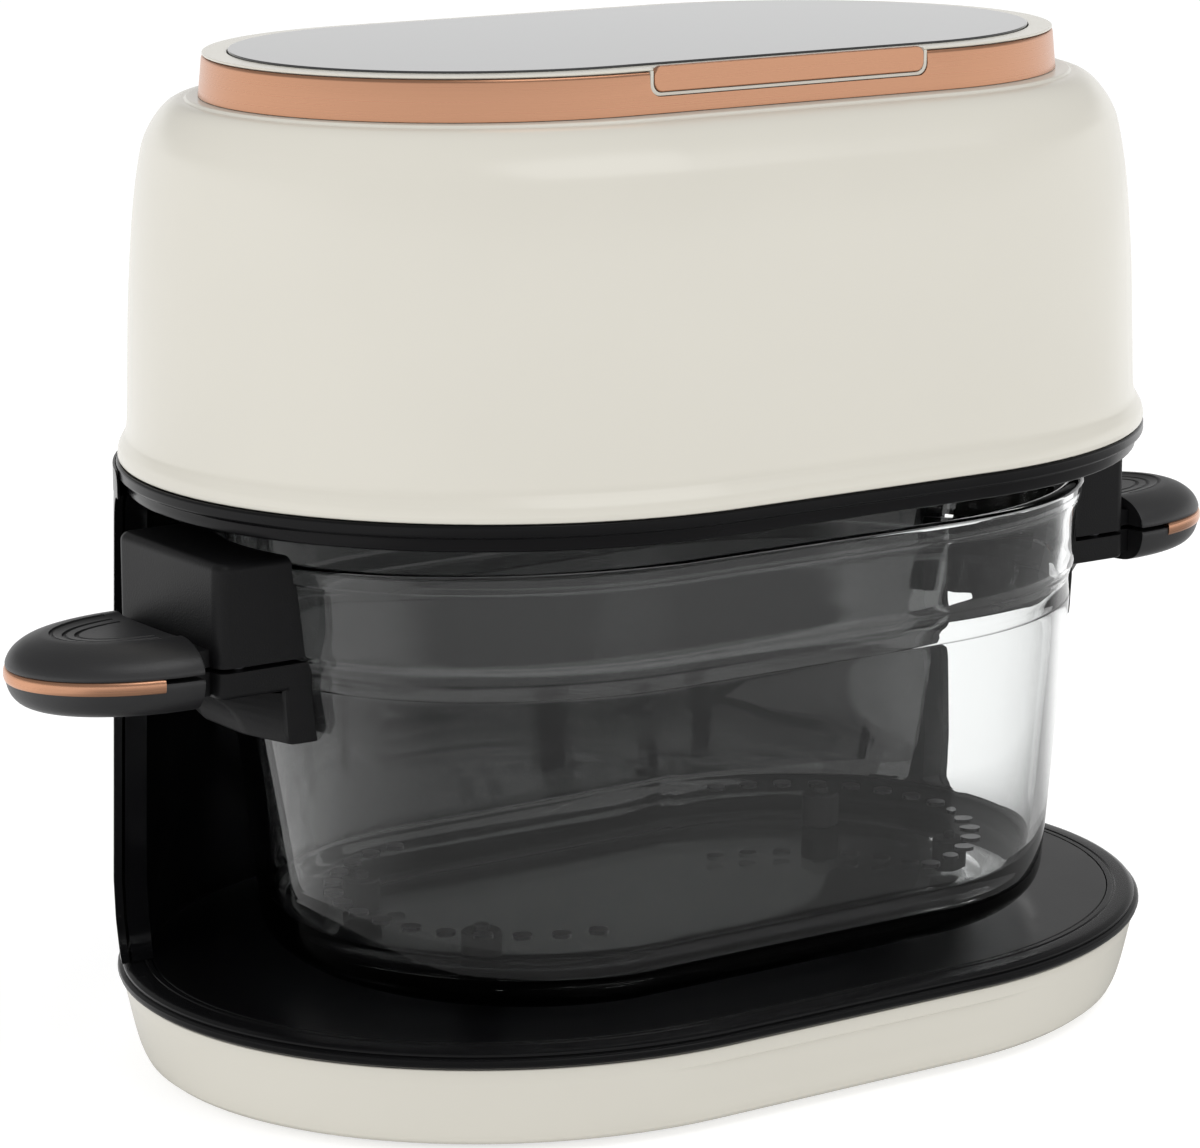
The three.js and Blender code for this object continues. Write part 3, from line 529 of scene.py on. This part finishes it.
bm = bmesh.new()
skin_over(bm, head_trim_oval, [(9, 185.3), (9, 177), (4, 177), (3, 177.25), (2.5, 177.9), (2.3, 179.5),
                               (2.1, 181), (1.5, 181.4), (0.7, 181.5), (0.15, 181.9), (0, 182.5),
                               (0, 184.7), (0.5, 185.3)])
soften_corners(bm, 0.3, steepest=35)
fit(moulding(bm, "head_border"), "housing", black_gloss, "gloss_black", "head_trim")

# Head dome: a gloss cream ABS moulding that flares out over the border at its foot and rolls in
# over a soft shoulder to the crown. Seven slots at the back let the motor's air out.


def dome_oval(off, z):
    t = off / 26.4
    return HALF_STRAIGHT + 11 * t, 119 - 35.4 * t, 111.3 - 34.9 * t, 2 * t


bm = bmesh.new()
flare_and_shoulder = eased([(-2.4, 187.2), (-1.9, 189.6), (-0.7, 191.9), (0.4, 194.2), (0.9, 200.6),
                            (1.4, 217), (2, 233.6), (3.3, 252.6), (4.8, 266.1), (6.9, 277.6),
                            (8.8, 282.6), (11.2, 286.5), (14, 289.7), (16.6, 291.5), (18.8, 292.2),
                            (20.6, 292.3)])
inner_dome = eased([(20, 289.7), (16, 288.1), (11.4, 281.1), (10, 266.1), (5.6, 245.6), (3, 197.6)])
inner_brim = [(20.9, 292.4), (21.1, 292.9), (21.6, 293.1), (23, 293.1), (34, 292.9), (34, 290.5)]
skin_over(bm, dome_oval, [(-1.7, 185.6), (-2.2, 186)] + flare_and_shoulder + inner_brim + inner_dome
          + [(0.2, 185.6)])
soften_corners(bm, 0.25, steepest=35)
dome = moulding(bm, "head_dome")
vents = bmesh.new()
for slot_number in range(-3, 4):
    middle = slot_number * 10
    rounded_box(vents, (middle - 1.6, 95, 236), (middle + 1.6, 130, 262), 1.5, pick=fore_and_aft)
work_with(dome, moulding(vents, "vent_tool"), "DIFFERENCE")
fit(dome, "housing", cream_gloss, "cream_shell", "head_shell")

# Crown: a rose gold band round the controls, the cream ring inside it that holds the touch glass,
# and the thicker rose gold plate set in the front.


def brushed_metal():
    """Shader group for lacquered, finely brushed metal: long streaks round the piece."""
    group, given, result = shader_group(
        "brushed_metal", [("Colour", "Color"), ("Streak", "Float"), ("Gloss", "Float")], SURFACE)
    place = add_node(group, "TexCoord")
    along = add_node(group, "Mapping", Scale=(12, 12, 2600))
    streak = add_node(group, "TexNoise", Scale=1, Detail=3)
    shade = add_node(group, "MapRange", To_Min=0.93, To_Max=1.07)
    tinted = add_node(group, "VectorMath", "SCALE")
    dull = add_node(group, "Math", "MULTIPLY_ADD")
    wire(group,
         place.outputs["Object"], along.inputs["Vector"],
         along.outputs["Vector"], streak.inputs["Vector"],
         streak.outputs["Fac"], shade.inputs["Value"],
         given["Colour"], tinted.inputs[0],
         shade.outputs["Result"], tinted.inputs["Scale"],
         tinted.outputs["Vector"], result["Colour"],
         streak.outputs["Fac"], dull.inputs[0],
         given["Streak"], dull.inputs[1],
         given["Gloss"], dull.inputs[2],
         dull.outputs["Value"], result["Roughness"],
         streak.outputs["Fac"], result["Height"])
    return group


brushed_group = brushed_metal()


def brushed(name, colour, roughness, streak=0.08):
    """A metal finish made with the brushed metal group."""
    given = {"Colour": (*colour, 1), "Streak": streak, "Gloss": roughness}
    return finish_with(name, brushed_group, given, 0.000004, {"Metallic": 1})


rose_gold = brushed("rose_gold_lacquered", (0.62, 0.325, 0.2), 0.24)


def crown_oval(inset, z):
    return 57, 83.6 - inset, 76.4 - inset, 2


def front_notch(half_width, bottom, name):
    """The round-cornered opening in the crown's front for the plate."""
    tool = bmesh.new()
    rounded_box(tool, (-half_width, -80.4, bottom), (half_width, -72.7, 320), 3.5, 6, fore_and_aft)
    return moulding(tool, name)


bm = bmesh.new()
skin_over(bm, crown_oval, [(-1.2, 293.2), (-0.6, 299), (-0.15, 304), (0.1, 304.75), (0.4, 305), (1.4, 305),
                           (0.6, 293.2)])
soften_corners(bm, 0.12, steepest=50, segments=2)
band = moulding(bm, "rose_gold_band")
work_with(band, front_notch(50, 297.9, "band_tool"), "DIFFERENCE")
fit(band, "housing", rose_gold, "rose_gold", "copper_band")

bm = bmesh.new()
skin_over(bm, crown_oval, [(1.8, 293.2), (1.8, 305.3), (0.1, 305.3), (0.1, 306), (7.4, 306), (7.4, 303.9),
                           (11, 303.9), (11, 301.9), (4.4, 301.9), (4.4, 293.2)])
soften_corners(bm, 0.3, steepest=35)
ring = moulding(bm, "crown_ring")
work_with(ring, front_notch(48.8, 298.3, "ring_tool"), "DIFFERENCE")
bm = bmesh.new()
rounded_box(bm, (-49.8, -74.5, 298.1), (49.8, -72, 312), 3.3, 6, fore_and_aft)
trim_to(bm, (0, 0, 305.3), (0, 0, -1))
surround_of_plate = moulding(bm, "plate_surround")
bm = bmesh.new()
rounded_box(bm, (-48.75, -76, 298.95), (48.75, -72.7, 320), 2.8, 6, fore_and_aft)
work_with(surround_of_plate, moulding(bm, "plate_hole"), "DIFFERENCE")
work_with(ring, surround_of_plate, "UNION")
fit(ring, "housing", cream_gloss, "cream_shell", "crown_rim")

bm = bmesh.new()
rounded_box(bm, (-48.5, -74.9, 299.2), (48.5, -73.0, 306.6), 2.6, 6, fore_and_aft)
soften_corners(bm, 0.35, steepest=60)
fit(moulding(bm, "rose_gold_plate"), "housing", rose_gold, "rose_gold", "copper_plate")

# Touch glass: a sheet of tinted, polished glass glued into the crown ring over the controls.
panel_black = moulded("tinted_panel_glass", (0.03, 0.031, 0.033), 0.06, cloud=0.1, uneven=0.02, grain=60,
                      depth=0.000002, IOR=1.55)
bm = bmesh.new()
skin_over(bm, crown_oval, [(7.7, 304.2), (7.7, 306.6)], hoop=False)
soften_corners(bm, 0.25)
fit(moulding(bm, "touch_sheet"), "housing", panel_black, "touch_panel_glass", "touch_glass")

# Heating chamber under the head: a satin under-tray, a spun bright reflector, a bent heating
# ring, a slotted guard and the pressed air fan on its shaft.
CHAMBER_Y = -4
bright_steel = brushed("bright_pressed_steel", (0.62, 0.64, 0.66), 0.2, streak=0.12)
dark_steel = brushed("dark_heated_steel", (0.16, 0.165, 0.175), 0.34, streak=0.15)


def reflector_oval(inset, z):
    return 50, 76 - inset, 70 - inset, CHAMBER_Y


def bars(low, high, radius, pick, places, name):
    """A tool of equal rounded bars, one at each (x, y, turn) place."""
    tool = bmesh.new()
    for x, y, turn in places:
        one = bmesh.new()
        rounded_box(one, low, high, radius, 4, pick)
        bmesh.ops.rotate(one, verts=one.verts, cent=(0, 0, 0), matrix=Matrix.Rotation(turn, 3, "Z"))
        bmesh.ops.translate(one, verts=one.verts, vec=(x, y, 0))
        copy = bpy.data.meshes.new("bar")
        one.to_mesh(copy)
        one.free()
        tool.from_mesh(copy)
        bpy.data.meshes.remove(copy)
    return moulding(tool, name)


bm = bmesh.new()
skin_over(bm, head_trim_oval, [(9.3, 178.4), (9.3, 180.6)], hoop=False)
tray = moulding(bm, "under_tray")
tool = bmesh.new()
skin_over(tool, reflector_oval, [(3, 170), (3, 190)], hoop=False)
work_with(tray, moulding(tool, "tray_tool"), "DIFFERENCE")
fit(tray, "housing", black_satin, "satin_black", "head_underpan")

bm = bmesh.new()
shell_steps = [(14.9, 218.1), (12.5, 217.6), (9.9, 212.9), (0.9, 182.1), (0.6, 181.2), (-7, 181.2),
               (-7, 182.1), (0, 182.1), (9, 213), (11.5, 218.2), (14, 219)]
skin_over(bm, reflector_oval, shell_steps, hoop=False)
reflector = moulding(bm, "heat_reflector")
tool = bmesh.new()
turned(tool, [(0, 200), (8, 200), (8, 230), (0, 230)], 0, CHAMBER_Y)
for terminal_y in (CHAMBER_Y + 14, CHAMBER_Y - 14):
    turned(tool, [(0, 205), (4.4, 205), (4.4, 230), (0, 230)], 74, terminal_y)
work_with(reflector, moulding(tool, "reflector_tool"), "DIFFERENCE")
fit(reflector, "housing", bright_steel, "bright_steel", "reflector_dish")


def bent_rod(points, radius, name):
    """A round rod bent along a run of points, with closed ends."""
    path = bpy.data.curves.new(name, "CURVE")
    path.dimensions = "3D"
    path.bevel_depth = radius / MM_PER_M
    path.bevel_resolution = 4
    path.use_fill_caps = True
    run = path.splines.new("POLY")
    run.points.add(len(points) - 1)
    for point, (x, y, z) in zip(run.points, points):
        point.co = (x / MM_PER_M, y / MM_PER_M, z / MM_PER_M, 1)
    holder = bpy.data.objects.new(name, path)
    scene.collection.objects.link(holder)
    bpy.context.view_layer.update()
    mesh = bpy.data.meshes.new_from_object(holder.evaluated_get(bpy.context.evaluated_depsgraph_get()))
    bpy.data.objects.remove(holder)
    bpy.data.curves.remove(path)
    made = bpy.data.objects.new(name, mesh)
    scene.collection.objects.link(made)
    bm = bmesh.new()
    bm.from_mesh(mesh)
    bmesh.ops.remove_doubles(bm, verts=bm.verts, dist=1e-6)
    bmesh.ops.recalc_face_normals(bm, faces=bm.faces)
    bm.to_mesh(mesh)
    bm.free()
    return made


loop_angles = [math.radians(13 + 334 * k / 60) for k in range(1, 60)]
loop_run = [(73.6 * math.cos(t), CHAMBER_Y + 58.9 * math.sin(t), 190) for t in loop_angles]
rise = [(74, 228), (74, 206), (73.9, 199), (73.4, 194)]
first_end = [(x, CHAMBER_Y + 14, z) for x, z in rise]
last_end = [(x, CHAMBER_Y - 14, z) for x, z in reversed(rise)]
heating_ring = bent_rod(first_end + loop_run + last_end, 3.2, "heating_ring")
fit(heating_ring, "housing", dark_steel, "dark_steel", "heating_element")


def guard_oval(inset, z):
    return 34, 62 - inset, 66 - inset, CHAMBER_Y


bm = bmesh.new()
skin_over(bm, guard_oval, [(0.6, 182.6), (0, 182.9), (0, 183.5), (0.6, 183.8)], hoop=False)
guard = moulding(bm, "heat_guard")
spokes = [(0, CHAMBER_Y, k * math.pi / 6) for k in range(12)]
work_with(guard, bars((24, -4, 178), (60, 4, 188), 3.6, upright, spokes, "guard_tool"), "DIFFERENCE")
fit(guard, "housing", dark_steel, "dark_steel", "element_guard")

bm = bmesh.new()
turned(bm, [(3.3, 197), (9, 197), (9, 198), (50, 198), (52, 198.4), (52, 199.2), (49.5, 199.3), (9, 199.3),
            (9, 208.4), (8.2, 209), (3.3, 209), (3.3, 197)], 0, CHAMBER_Y, steps=96)
fan_wheel = moulding(bm, "air_fan")
blades = bars((14, -0.6, 199), (50, 0.6, 212), 0.5, upright, spokes[::2], "blade_tool")
work_with(fan_wheel, blades, "UNION")
fit(fan_wheel, "fan", bright_steel, "bright_steel", "hot_air_fan")

# Glass bowl: blown and pressed borosilicate, thick at the heel, its rim fire-polished. A lug of
# the same glass stands out of each end for the handle brackets to clamp.
BOWL_Y = -9.5
clear_glass = moulded("clear_borosilicate", (0.965, 0.975, 0.972), 0.008, cloud=0.01, uneven=0.008,
                      grain=45, depth=0.00003, bump_strength=0.3, Transmission_Weight=1, IOR=1.47)


def bowl_oval(inset, z):
    t = (z - 54) / 112.4
    return 52 - 6.4 * t, 79.4 + 23.2 * t - inset, 80.1 + 2.7 * t - inset, BOWL_Y


outside_steps = eased([(16, 33.3), (11.5, 34.1), (6.4, 36.3), (2.4, 39.7), (0.2, 44.3), (0, 54.3),
                       (0.1, 90), (0.2, 124.9), (0.7, 130), (1.3, 134.4), (0.9, 137.4), (0.1, 140.6),
                       (0.3, 148), (0.4, 159.9), (-0.3, 161.4)])
rim_steps = eased([(-0.3, 165), (0.1, 165.8), (1, 166.25), (2.7, 166.4), (4.4, 166.2), (5.3, 165.7),
                   (5.6, 165)])
inside_steps = eased([(5.2, 150), (4.8, 136.4), (4.6, 95), (4.5, 57.3), (5.9, 50.3), (9.1, 45.3),
                      (15.5, 42.2),
                      (23.5, 41)])
bm = bmesh.new()
skin_over(bm, bowl_oval, outside_steps + rim_steps + inside_steps, hoop=False)
pot = moulding(bm, "glass_pot")


def bowl_tool(clearance, name):
    """The bowl's outside as a solid that much bigger all round, and open upwards."""
    tool = bmesh.new()
    steps = [(inset - clearance, z) for inset, z in outside_steps + [(-0.3, 165), (0.2, 170), (0.2, 190)]]
    skin_over(tool, bowl_oval, steps, hoop=False)
    return moulding(tool, name)


def outer_edge(edge):
    return upright(edge) and abs(edge.verts[0].co.x) > 150


for low_x, high_x in ((120, 158), (-158, -120)):
    bm = bmesh.new()
    rounded_box(bm, (low_x, -23, 135.5), (high_x, 17, 141.9), 7, 8, outer_edge)
    soften_corners(bm, 0.8)
    lug = moulding(bm, "glass_lug")
    work_with(lug, bowl_tool(-2.2, "bowl_shape"), "DIFFERENCE")
    work_with(pot, lug, "UNION")
fit(pot, "bowl", clear_glass, "clear_glass", "glass_bowl")

# Crisping tray: pressed steel with a dark non-stick coat, a turned-down rim, two arcs of round
# holes at each end and rows of fine slots between them. It stands in the bowl on four rubber feet.
coat_dark = moulded("dark_nonstick_coat", (0.012, 0.012, 0.013), 0.3, cloud=0.4, uneven=0.12, grain=2600,
                    depth=0.00003, Specular_IOR_Level=0.35)
bm = bmesh.new()
skin_over(bm, bowl_oval, [(17.5, 52.2), (8.2, 52.3), (8.2, 50.2), (6.5, 50.2), (5.7, 51.8),
                          (5.5, 53.2), (5.9, 54.2), (7.2, 54.4), (14, 54.2), (16.4, 54), (17.2, 53.5),
                          (18.5, 53.4)], hoop=False)
tray_plate = moulding(bm, "crisping_tray")


def end_arcs(holes, reach):
    """Centres of one arc of holes round each end of the tray."""
    spots = []
    for side in (1, -1):
        for k in range(-holes, holes + 1):
            t = math.radians(80 * k / holes)
            spots.append((side * (52 + reach * math.cos(t)), BOWL_Y + reach * math.sin(t), 0))
    return spots


for holes, reach, half in ((7, 57, 2.9), (5, 47, 1.7)):
    tool = bars((-half, -half, 40), (half, half, 70), half * 0.98, upright, end_arcs(holes, reach),
                "end_hole_tool")
    work_with(tray_plate, tool, "DIFFERENCE")
outer_rows = [(column * 4.7, BOWL_Y + row * 10.2, 0) for column in range(-11, 12)
              for row in (-5.6, -4.9, -4.2, 4.2, 4.9, 5.6)]
middle_rows = [(column * 11, BOWL_Y + row * 20, 0) for column in range(-4, 5)
               for row in (-1.5, -0.5, 0.5, 1.5)]
row_tool = bars((-1.2, -0.6, 40), (1.2, 0.6, 70), 0.5, upright, outer_rows + middle_rows, "row_slot_tool")
work_with(tray_plate, row_tool, "DIFFERENCE")
fit(tray_plate, "crisper", coat_dark, "non_stick", "crisper_plate")

for corner in CORNERS:
    low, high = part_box("crisper_foot_" + corner)
    middle = (low + high) / 2 * MM_PER_M
    bm = bmesh.new()
    turned(bm, [(0, 41.3), (5.2, 41.3), (6, 42.2), (6, 51.6), (5.4, 52.2), (2.3, 52.3), (2.3, 54),
                (1.8, 54.4), (0, 54.4)], middle.x, middle.y)
    fit(moulding(bm, "tray_pad_" + corner), "crisper", rubber_black, "black_rubber",
        "crisper_foot_" + corner)

# Handles: each is a two-part bracket clamped round the bowl's glass lug and a two-part soft-touch
# grip with a rose gold inlay in its seam, held by screws from below.
soft_black = moulded("soft_touch_black", (0.011, 0.011, 0.012), 0.42, cloud=0.3, uneven=0.12, grain=1700,
                     depth=0.00006, Specular_IOR_Level=0.7)
grained_black = moulded("grained_black_plastic", (0.006, 0.006, 0.0065), 0.44, cloud=0.3, uneven=0.12,
                        grain=1900, depth=0.00008, Specular_IOR_Level=0.2)
GRIP_ROOT = 174.5
GRIP_Y = -3
GRIP_REACH, GRIP_HALF_WIDTH = 44.3, 31.5
BRACKET_FRONT, BRACKET_BACK = GRIP_Y - 29.6, GRIP_Y + 29.6
BRACKET_INNER, BRACKET_OUTER = 118, 169
NECK_FRONT, NECK_BACK = GRIP_Y - 24, GRIP_Y + 24
BOWL_GAP = 0.45
# Heel of a lower bracket, level by level: how far out its cheeks and its nose reach, and the height.
HEEL_LEVELS = [(145.4, 150.6, 114.3), (146.1, 151.4, 115), (146.4, 152.4, 117.5), (146.6, 154.6, 121),
               (146.8, 157.6, 124), (147, 161.6, 126.8), (147, 166, 129.4), (147, 168.2, 131.6)]


def nose_oval(inset, z):
    return 0, GRIP_REACH - inset, GRIP_HALF_WIDTH - inset, GRIP_Y


def box_tool(low, high, radius, name):
    """A block with rounded upright edges, to cut or join with."""
    tool = bmesh.new()
    rounded_box(tool, low, high, radius, 3, upright)
    return moulding(tool, name)


def grip_pocket(floor_z, top_z, out=0.3):
    """The room a grip half leaves for the bracket's neck."""
    return box_tool((150, NECK_FRONT - out, floor_z), (177.8 + out, NECK_BACK + out, top_z), 2, "pocket")


def mirrored_for(side, made):
    """Turns a right-hand handle piece into a left-hand one."""
    if side == "left":
        bm = bmesh.new()
        bm.from_mesh(made.data)
        bmesh.ops.scale(bm, vec=(-1, 1, 1), verts=bm.verts)
        bmesh.ops.reverse_faces(bm, faces=bm.faces)
        bm.to_mesh(made.data)
        bm.free()
    return made


def nose_solid(levels):
    """The half-oval solid that both halves of a grip are shaped from."""
    bm = bmesh.new()
    skin_over(bm, nose_oval, levels, hoop=False)
    trim_to(bm, (0, 0, 0), (1, 0, 0))
    bmesh.ops.translate(bm, verts=bm.verts, vec=(GRIP_ROOT, 0, 0))
    return bm


def heel_solid():
    """The tapering heel under a lower bracket."""
    heel = bmesh.new()
    rings = []
    for cheek, nose, z in HEEL_LEVELS:
        front_half = [(BRACKET_INNER, -29.6), (cheek - 1, -29.6), (cheek, -29), (cheek + 0.4, -27.6),
                      (nose - 0.9, -13.6), (nose, -10.4)]
        outline = front_half + [(x, -y) for x, y in reversed(front_half)]
        corners = [heel.verts.new((x, GRIP_Y + y, z)) for x, y in outline]
        rings.append([heel.edges.new(pair) for pair in zip(corners, corners[1:] + corners[:1])])
    for lower, upper in zip(rings, rings[1:]):
        bmesh.ops.bridge_loops(heel, edges=lower + upper)
    bmesh.ops.contextual_create(heel, geom=rings[0])
    bmesh.ops.contextual_create(heel, geom=rings[-1])
    return moulding(heel, "heel")


for side in ("right", "left"):
    bm = bmesh.new()
    rounded_box(bm, (BRACKET_INNER, BRACKET_FRONT, 139.4), (BRACKET_OUTER, BRACKET_BACK, 169.7), 4.2, 8,
                outer_edge)
    bevel(bm, [edge for edge in bm.edges if min(vert.co.z for vert in edge.verts) > 169], 2.6, 6)
    bracket = moulding(bm, "upper_bracket_" + side)
    neck = box_tool((160, NECK_FRONT, 139.4), (177.8, NECK_BACK, 144.4), 2, "neck")
    work_with(bracket, neck, "UNION")
    work_with(bracket, box_tool((160, -18, 139.4), (200.5, 12, 142.8), 4, "tongue"), "UNION")
    work_with(bracket, bowl_tool(BOWL_GAP, "bowl_shape"), "DIFFERENCE")
    fit(mirrored_for(side, bracket), "bowl", grained_black, "satin_black", "bracket_upper_" + side)

    bm = bmesh.new()
    rounded_box(bm, (BRACKET_INNER, BRACKET_FRONT, 130.3), (BRACKET_OUTER, BRACKET_BACK, 138), 3.6, 6,
                outer_edge)
    bevel(bm, [edge for edge in bm.edges if max(vert.co.z for vert in edge.verts) < 130.5], 1.4, 5)
    bracket = moulding(bm, "lower_bracket_" + side)
    work_with(bracket, heel_solid(), "UNION")
    neck = box_tool((160, NECK_FRONT, 131), (177.8, NECK_BACK, 138), 2, "lower_neck")
    work_with(bracket, neck, "UNION")
    work_with(bracket, bowl_tool(BOWL_GAP, "bowl_shape"), "DIFFERENCE")
    fit(mirrored_for(side, bracket), "bowl", grained_black, "satin_black", "bracket_lower_" + side)

    upper_levels = eased([(0.3, 139.4), (0.2, 140.6), (1.2, 142.8), (3, 144.8), (6, 146.7), (10, 148),
                          (13, 148.3)])
    bm = nose_solid(upper_levels + [(14, 148.15), (15.2, 147.7), (21, 147.4)])
    soften_corners(bm, 1.0, steepest=60)
    grip = moulding(bm, "upper_grip_" + side)
    for inset, level in ((13.6, 148.3), (17.4, 147.7), (21, 147.5)):
        turns = [math.radians(-80 + 160 * k / 48) for k in range(49)]
        groove = [(GRIP_ROOT + (GRIP_REACH - inset) * math.cos(t),
                   GRIP_Y + (GRIP_HALF_WIDTH - inset) * math.sin(t), level) for t in turns]
        work_with(grip, bent_rod(groove, 0.7, "groove_tool"), "DIFFERENCE")
    work_with(grip, grip_pocket(130, 144.7), "DIFFERENCE")
    fit(mirrored_for(side, grip), "bowl", soft_black, "soft_grip", "grip_upper_" + side)

    lower_levels = eased([(13, 127.2), (8, 127.7), (4, 129.2), (1.6, 131.6), (0.4, 134.6), (0, 137),
                          (0.3, 138)])
    bm = nose_solid(lower_levels)
    soften_corners(bm, 1.0, steepest=60)
    grip = moulding(bm, "lower_grip_" + side)
    work_with(grip, grip_pocket(130.7, 150), "DIFFERENCE")
    fit(mirrored_for(side, grip), "bowl", soft_black, "soft_grip", "grip_lower_" + side)

    bm = bmesh.new()
    skin_over(bm, nose_oval, [(2, 135.3), (0.5, 135.3), (-0.05, 135.7), (-0.35, 136.6), (-0.35, 138.2),
                              (-0.05, 139.1), (0.5, 139.5), (2, 139.5)])
    trim_to(bm, (12.2, 0, 0), (1, 0, 0))
    ends = [edge for edge in bm.edges if all(vert.co.x < 12.3 for vert in edge.verts)
            and all(vert.co.z in (135.3, 139.5) for vert in edge.verts)]
    bevel(bm, ends, 1.6, 5, clamp=False)
    bmesh.ops.translate(bm, verts=bm.verts, vec=(GRIP_ROOT, 0, 0))
    inlay = moulding(bm, "seam_inlay_" + side)
    fit(mirrored_for(side, inlay), "bowl", rose_gold, "rose_gold", "grip_inlay_" + side)

# Inside and under the housing: screws, boards, motor and their carriers keep their own shapes and
# get the finish of what each is made of.
board_green = moulded("circuit_board_green", (0.02, 0.11, 0.05), 0.4, cloud=0.2, uneven=0.1, grain=700)
plain_white = moulded("white_nylon", (0.6, 0.59, 0.55), 0.5, cloud=0.06, grain=1200)
INSIDE = {
    "bottom_plate": black_satin, "bowl_sensor": plain_white, "mains_riser": rubber_black,
    "motor_shaft": bright_steel, "cooling_fan": plain_white, "head_chassis": black_satin,
    "motor_bracket": bright_steel, "thermal_cutout": plain_white, "power_board": board_green,
    "control_board": board_green,
}
for name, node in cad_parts.items():
    if not node.hide_render:
        node.data.materials.clear()
        node.data.materials.append(INSIDE.get(name, dark_steel))
